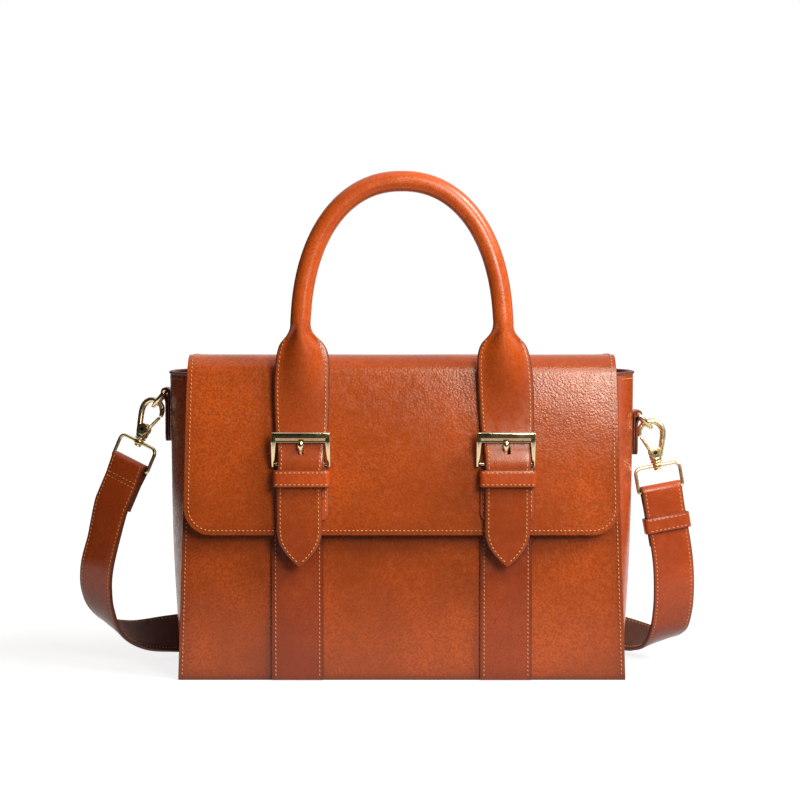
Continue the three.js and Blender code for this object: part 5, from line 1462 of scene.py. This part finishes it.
    def loop(self) -> None:
        """Builds the wire loop with the collar that the hook swivels in."""
        half, foot, corner = self.loop_half, 1.55, 4.0
        low, top = self.loop_low, self.loop_top
        line = [(0.0, low), (half - foot, low), *arc((half - foot, low + foot), foot, -90, 0, 7)[1:]]
        line += [(half, (low + top) / 2), *arc((half - corner, top - corner), corner, 0, 90, 9)]
        line += [(half / 2, top), (0, top), (-half / 2, top), *arc((-half + corner, top - corner), corner, 90, 180, 9)]
        line += [(-half, (low + top) / 2), *arc((-half + foot, low + foot), foot, 180, 270, 7)]
        wire = self.loop_wire * MM
        frame_wire = tube([mm(x, 0, z) for x, z in line], lambda share: (wire, wire), Vector((0, 1, 0)), 14, True)
        collar = cylinder(3.3 * MM, mm(0, 0, top - 1.7), mm(0, 0, top + 1.7), 0.9 * MM)
        self.metal("swivel_loop", "loop", merged(frame_wire, collar))

    def build(self) -> None:
        """Builds the whole clasp."""
        self.tab()
        self.ring()
        self.loop()
        self.hook()
        self.gate()


# Shoulder strap


@dataclass
class ShoulderStrap:
    """The shoulder strap: folded round each clasp's loop, down to the floor and put away behind the bag."""

    left: Clasp
    right: Clasp
    half: float = 14.2
    thick: float = 2.8
    fold_neck: float = 11.0
    gap: float = 0.3
    steps: int = 300
    stitch_inset: float = 2.4
    slider_drop: float = 23.5
    slider_tall: float = 5.3
    slider_thin: float = 1.5
    slider_play: float = 0.5
    length: float = 1.13

    # The run from the left clasp to the right one, in millimetres, with the way that the outer face looks
    RUN = (
        ((-207, -1, 88), (-0.56, -0.82, 0.1)), ((-211.6, 0, 69), (-0.54, -0.84, -0.05)),
        ((-212.6, 3, 54), (-0.56, -0.8, -0.22)), ((-210.3, 9, 39), (-0.62, -0.64, -0.45)),
        ((-203, 20, 24.5), (-0.68, -0.25, -0.68)), ((-188, 37, 15.8), (-0.5, 0.35, -0.78)),
        ((-166, 52, 14.2), (-0.2, 0.8, -0.5)), ((-140, 60, 14.8), (-0.05, 1, -0.05)), ((-95, 62, 14.6), (0, 1, 0)),
        ((-45, 63, 14.6), (0, 1, 0)), ((-23, 84, 14.6), (-1, 0, 0)), ((-45, 105, 14.6), (0, -1, 0)),
        ((-90, 106, 14.6), (0, -1, 0)), ((-112, 128, 14.6), (-1, 0, 0)), ((-90, 150, 14.6), (0, 1, 0)),
        ((0, 153, 14.6), (0, 1, 0)), ((90, 150, 14.6), (0, 1, 0)), ((112, 128, 14.6), (1, 0, 0)),
        ((90, 106, 14.6), (0, -1, 0)), ((45, 105, 14.6), (0, -1, 0)), ((23, 84, 14.6), (1, 0, 0)),
        ((45, 63, 14.6), (0, 1, 0)), ((95, 62, 14.6), (0, 1, 0)), ((128, 65, 14.8), (0.05, 1, -0.05)),
        ((155, 61, 13.4), (0.25, 0.7, -0.62)), ((172.5, 44, 12.2), (0.4, 0.3, -0.85)),
        ((182, 27, 14), (0.38, -0.3, -0.86)), ((187, 12, 24.5), (0.25, -0.8, -0.55)),
        ((188.9, 4, 40), (0.15, -0.95, -0.25)), ((189, 0, 56), (0.1, -0.99, -0.1)),
        ((188.2, -1, 72), (0.1, -0.99, 0)),
    )

    # How far below the loop's bar the left end is sewn across, in millimetres
    CROSS_DROPS = (10.4, 13.4)

    def end(self, clasp: Clasp) -> list[Station]:
        """A strap end: tail up the back, over the loop's lower bar and down the front.

        Args:
            clasp: The clasp that it hangs on.
        Returns:
            Stations from the tail's end to the front layer.
        """
        reach = clasp.loop_wire + self.gap + self.thick / 2
        layer = self.thick / 2 + self.gap / 2
        over = arc((0, 0), reach, 0, 180, 15)
        low = [-z for z in spread(self.fold_neck, clasp.tail, 4)]
        line = [*[(layer, z) for z in reversed(low)], (layer + 0.7, -6.0), *over, (-layer - 0.7, -6.0),
                *[(-layer, z) for z in low]]
        points = [clasp.stand @ mm(0, y, z + clasp.loop_low) for y, z in line]
        side = (clasp.turning @ Vector((1, 0, 0))).normalized()
        return along_line(points, side, self.half, self.thick, 1)

    def run(self, left: Sequence[Station], right: Sequence[Station]) -> list[Station]:
        """The strap between its two ends, on one smooth curve.

        Args:
            left: The left end's stations.
            right: The right end's stations.
        Returns:
            Stations whose faces are squared to the curve.
        """
        knots = [left[-1].at, *[mm(*at) for at, _ in self.RUN], right[-1].at]
        faces = [left[-1].face, *[Vector(face).normalized() for _, face in self.RUN], right[-1].face]
        last = len(knots) - 1
        ends = [left[-2].at, *knots, right[-2].at]

        def at(place: float) -> Vector:
            k = min(int(place), last - 1)
            p = ends[k:k + 4]
            gaps = [max((b - a).length, 1e-9) ** 0.5 for a, b in zip(p, p[1:])]
            begin = (p[1] - p[0]) / gaps[0] - (p[2] - p[0]) / (gaps[0] + gaps[1]) + (p[2] - p[1]) / gaps[1]
            close = (p[2] - p[1]) / gaps[1] - (p[3] - p[1]) / (gaps[1] + gaps[2]) + (p[3] - p[2]) / gaps[2]
            m0, m1 = begin * gaps[1], close * gaps[1]
            t = place - k
            return (p[1] * (2 * t ** 3 - 3 * t ** 2 + 1) + m0 * (t ** 3 - 2 * t ** 2 + t)
                    + p[2] * (3 * t ** 2 - 2 * t ** 3) + m1 * (t ** 3 - t ** 2))

        made = []
        for n in range(1, self.steps):
            place = last * n / self.steps
            k = min(int(place), last - 1)
            tangent = (at(min(place + 0.01, last)) - at(max(place - 0.01, 0))).normalized()
            face = faces[k].lerp(faces[k + 1], place - k)
            face = (face - tangent * face.dot(tangent)).normalized()
            made.append(Station(at(place), face.cross(tangent).normalized(), face, self.half, self.thick))
        return made

    def build(self) -> None:
        """Builds the strap with its stitches and its sliding keeper."""
        left, right = self.end(self.left), self.end(self.right)
        run = self.run(left, right)
        for station in right:
            station.side = -station.side
        if left[-1].side.dot(run[0].side) < 0:
            for station in left:
                station.side, station.face = -station.side, station.face
        whole = [*left, *run, *reversed(right)]
        dressing = Dressing("bag", (Finish.SMOOTH, Finish.EDGE, Finish.FLESH), ("shoulder_strap",))
        piece = dressing.dress("shoulder_strap_hide", strip(whole))
        route = [s.at for s in [*left[12:], *run, *reversed(right[12:])]]
        length = sum((b - a).length for a, b in zip(route, route[1:]))
        LOG.info("shoulder strap runs %.3f m", length)
        self.slider()
        hung = [f"{hand.word}_{part}_cast" for hand in Hand
                for part in ("swivel_loop", "hook_body", "hook_gate", "gate_pin", "gate_spring")]
        hung.append("strap_keeper_hide")
        tuple(route[0])
        [tuple(p) for p in route]
        seams = [[s.on_face(self.stitch_inset, way) for s in whole[17:-17]] for way in (-1, 1)]
        inner = [[(s.at + s.side * (way * (self.half - self.stitch_inset) * MM) - s.face * (self.thick / 2 * MM),
                   -s.face) for s in run] for way in (-1, 1)]
        THREAD.sew("shoulder_strap_stitches", [*seams, *inner, *self.cross_seams()], dressing)

    def cross_seams(self) -> list[Seam]:
        """The two rows across the left end that close its fold."""
        face = (self.left.turning @ Vector((0, -1, 0))).normalized()
        out = self.thick + self.gap / 2
        reach = self.half - self.stitch_inset
        return [[(self.left.stand @ mm(across, -out, self.left.loop_low - drop), face)
                 for across in spread(-reach, reach, 9)] for drop in self.CROSS_DROPS]

    def slider(self) -> None:
        """Builds the keeper that slides on the right end."""
        wide = self.half + self.slider_play + self.slider_thin / 2
        deep = self.thick + self.gap / 2 + self.slider_play + self.slider_thin / 2
        bend = 2.0
        corners = [(wide - bend, deep - bend, 0), (-wide + bend, deep - bend, 90),
                   (-wide + bend, -deep + bend, 180), (wide - bend, -deep + bend, 270)]
        line = [p for u, v, start in corners for p in arc((u, v), bend, start, start + 90, 6)]
        middle = self.right.loop_low - self.slider_drop
        points = [self.right.stand @ mm(u, v, middle) for u, v in line]
        up = (self.right.turning @ Vector((0, 0, 1))).normalized()
        stations = []
        for k, point in enumerate(points):
            tangent = (points[(k + 1) % len(points)] - points[k - 1]).normalized()
            stations.append(Station(point, up, tangent.cross(up).normalized(), self.slider_tall, self.slider_thin))
        made = through([s.section() for s in stations], STRIP_FACES).join_ends().mesh
        dressing = Dressing("strap_slider", (Finish.SMOOTH, Finish.EDGE, Finish.SMOOTH), ("strap_keeper",))
        dressing.dress("strap_keeper_hide", made)
        rows = [[s.on_face(1.6, way) for s in stations[17:19]] for way in (-1, 1)]
        THREAD.sew("strap_keeper_stitches", rows, dressing)


# Studio


@dataclass
class Studio:
    """The floor, the lights and the camera."""

    eye: tuple[float, float, float] = (-1.2, -1350.0, 252.0)
    target: tuple[float, float, float] = (-1.2, -50.0, 188.0)
    lens: float = 88.0
    sensor: float = 36.0

    def seen(self, tree: bpy.types.NodeTree) -> bpy.types.NodeSocket:
        """Tells where the surround is looked at, straight or in a reflection.

        Args:
            tree: The floor's or the world's tree.
        Returns:
            A value of 1 for camera, glossy and transmission rays.
        """
        rays = add_node(tree, "ShaderNodeLightPath").outputs
        mirrored = add_node(tree, "ShaderNodeMath", {
            0: rays["Is Camera Ray"], 1: rays["Is Glossy Ray"]}, operation="MAXIMUM")
        return add_node(tree, "ShaderNodeMath", {
            0: mirrored.outputs[0], 1: rays["Is Transmission Ray"]}, operation="MAXIMUM").outputs[0]

    def floor(self) -> None:
        """Lays a plain white floor."""
        made = bmesh.new()
        bmesh.ops.create_grid(made, x_segments=1, y_segments=1, size=30.0)
        data = bpy.data.meshes.new("floor")
        made.to_mesh(data)
        made.free()
        material = bpy.data.materials.new("studio_floor")
        material.use_nodes = True
        tree = material.node_tree
        shader = tree.nodes["Principled BSDF"]
        shader.inputs["Base Color"].default_value = (0.2, 0.2, 0.2, 1)
        shader.inputs["Roughness"].default_value = 0.9
        shader.inputs["Specular IOR Level"].default_value = 0.0
        glow = add_node(tree, "ShaderNodeMath", {0: self.seen(tree), 1: 0.81}, operation="MULTIPLY")
        shader.inputs["Emission Color"].default_value = (1, 1, 1, 1)
        tree.links.new(glow.outputs[0], shader.inputs["Emission Strength"])
        data.materials.append(material)
        floor = bpy.data.objects.new("floor", data)
        bpy.context.scene.collection.objects.link(floor)

    def world(self) -> None:
        """Sets a white surround that lights the bag only softly."""
        world = bpy.data.worlds.new("studio")
        world.use_nodes = True
        bpy.context.scene.world = world
        tree = world.node_tree
        background = tree.nodes["Background"]
        level = add_node(tree, "ShaderNodeMapRange", {"Value": self.seen(tree), "To Min": 0.18, "To Max": 1.0})
        background.inputs["Color"].default_value = (1, 1, 1, 1)
        tree.links.new(level.outputs["Result"], background.inputs["Strength"])

    def lamp(self, name: str, kind: str, at: tuple[float, float, float], aim: tuple[float, float, float],
             energy: float, size: float, mirrored: bool = False) -> None:
        """Sets one lamp.

        Args:
            name: The lamp's name.
            kind: SUN or AREA.
            at: Its place in metres.
            aim: The point that it looks at.
            energy: Its strength in watts, or watts per square metre for a sun.
            size: The area's side in metres, or the sun's width in degrees.
            mirrored: Whether leather and metal mirror it.
        """
        data = bpy.data.lights.new(name, kind)
        data.energy = energy
        data.color = (1.0, 0.97, 0.84)
        if kind == "SUN":
            data.angle = math.radians(size)
        else:
            data.shape = "SQUARE"
            data.size = size
        lamp = bpy.data.objects.new(name, data)
        lamp.location = at
        lamp.rotation_euler = (Vector(aim) - Vector(at)).to_track_quat("-Z", "Y").to_euler()
        lamp.visible_camera = False
        lamp.visible_glossy = mirrored
        bpy.context.scene.collection.objects.link(lamp)

    def flag(self, name: str, at: tuple[float, float, float], aim: tuple[float, float, float], size: float,
             shading: bool = True) -> None:
        """Hangs a dark card, which keeps reflections from washing the colours out.

        Args:
            name: The card's name.
            at: Its middle in metres.
            aim: The point that it faces.
            size: Half its side in metres.
            shading: Whether it also keeps stray light off.
        """
        made = bmesh.new()
        turn = (Vector(aim) - Vector(at)).to_track_quat("Z", "Y").to_matrix().to_4x4()
        bmesh.ops.create_grid(made, x_segments=1, y_segments=1, size=size,
                              matrix=Matrix.Translation(at) @ turn)
        data = bpy.data.meshes.new(name)
        made.to_mesh(data)
        made.free()
        data.materials.append(Finish.FELT.material())
        card = bpy.data.objects.new(name, data)
        card.visible_camera = False
        card.visible_shadow = False
        card.visible_diffuse = shading
        bpy.context.scene.collection.objects.link(card)

    def camera(self) -> None:
        """Sets the camera where the picture was taken from."""
        data = bpy.data.cameras.new("camera")
        data.lens = self.lens
        data.sensor_width = self.sensor
        data.clip_end = 100.0
        camera = bpy.data.objects.new("camera", data)
        eye, target = mm(*self.eye), mm(*self.target)
        camera.location = eye
        camera.rotation_euler = (target - eye).to_track_quat("-Z", "Y").to_euler()
        bpy.context.scene.collection.objects.link(camera)
        bpy.context.scene.camera = camera

    def build(self) -> None:
        """Sets up the whole studio."""
        bpy.context.scene.view_settings.view_transform = "Standard"
        self.floor()
        self.world()
        middle = (0.0, 0.0, 0.15)
        self.lamp("sky", "SUN", (2.0, -0.85, 2.1), middle, 4.15, 26.0, True)
        self.lamp("key_box", "AREA", (0.2, -0.6, 0.64), (0.08, -0.06, 0.2), 2.4, 0.3, True)
        # the small one low on the right gives the sheen
        self.lamp("sheen_box", "AREA", (0.26, -0.7, 0.4), (0.12, -0.06, 0.2), 3.7, 0.22, True)
        self.lamp("back_fill", "SUN", (-0.7, 2.0, 1.2), middle, 1.5, 40.0)
        self.flag("left_flag", (-0.75, -0.1, 0.3), middle, 0.7)
        self.flag("right_flag", (1.1, -0.35, 0.25), middle, 0.4, False)
        self.flag("back_left_flag", (-0.8, 0.8, 0.3), middle, 0.4, False)
        self.flag("back_right_flag", (0.8, 0.8, 0.3), middle, 0.4, False)
        self.flag("front_flag", (0.0, -2.2, 1.0), middle, 1.9, False)
        self.flag("floor_flag", (0.0, -1.52, 0.01), (0.0, -1.52, 1.0), 1.28, False)
        self.camera()


def dress_hidden_parts() -> None:
    """Gives the CAD parts that stay their finishes."""
    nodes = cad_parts
    finishes = {"base_board": Finish.BOARD}
    for hand in Hand:
        for part in ("snap_socket", "snap_stud"):
            finishes[f"{hand.word}_{part}"] = Finish.STEEL
    for name, finish in finishes.items():
        data = nodes[name].data
        data.materials.clear()
        data.materials.append(finish.material())
        LOG.info("%s: CAD part, %s", name, finish.value.name)


def main() -> None:
    """Builds the bag and the studio in order."""
    logging.basicConfig(level=logging.INFO, format="%(message)s")
    Studio().build()
    left = Clasp(Hand.LEFT, ring_height=191.5, tab_length=34, tail=30, droop=50, tilt=23, turn=-28)
    right = Clasp(Hand.RIGHT, ring_height=176, tab_length=28, tail=38, droop=45, tilt=-10, turn=6)
    for clasp in (left, right):
        clasp.build()
    ShoulderStrap(left, right).build()
    Body().build()
    Flap().build()
    Handle().build()
    for hand in Hand:
        BuckleSet(hand).build()
    dress_hidden_parts()


if __name__ == "__main__":
    main()
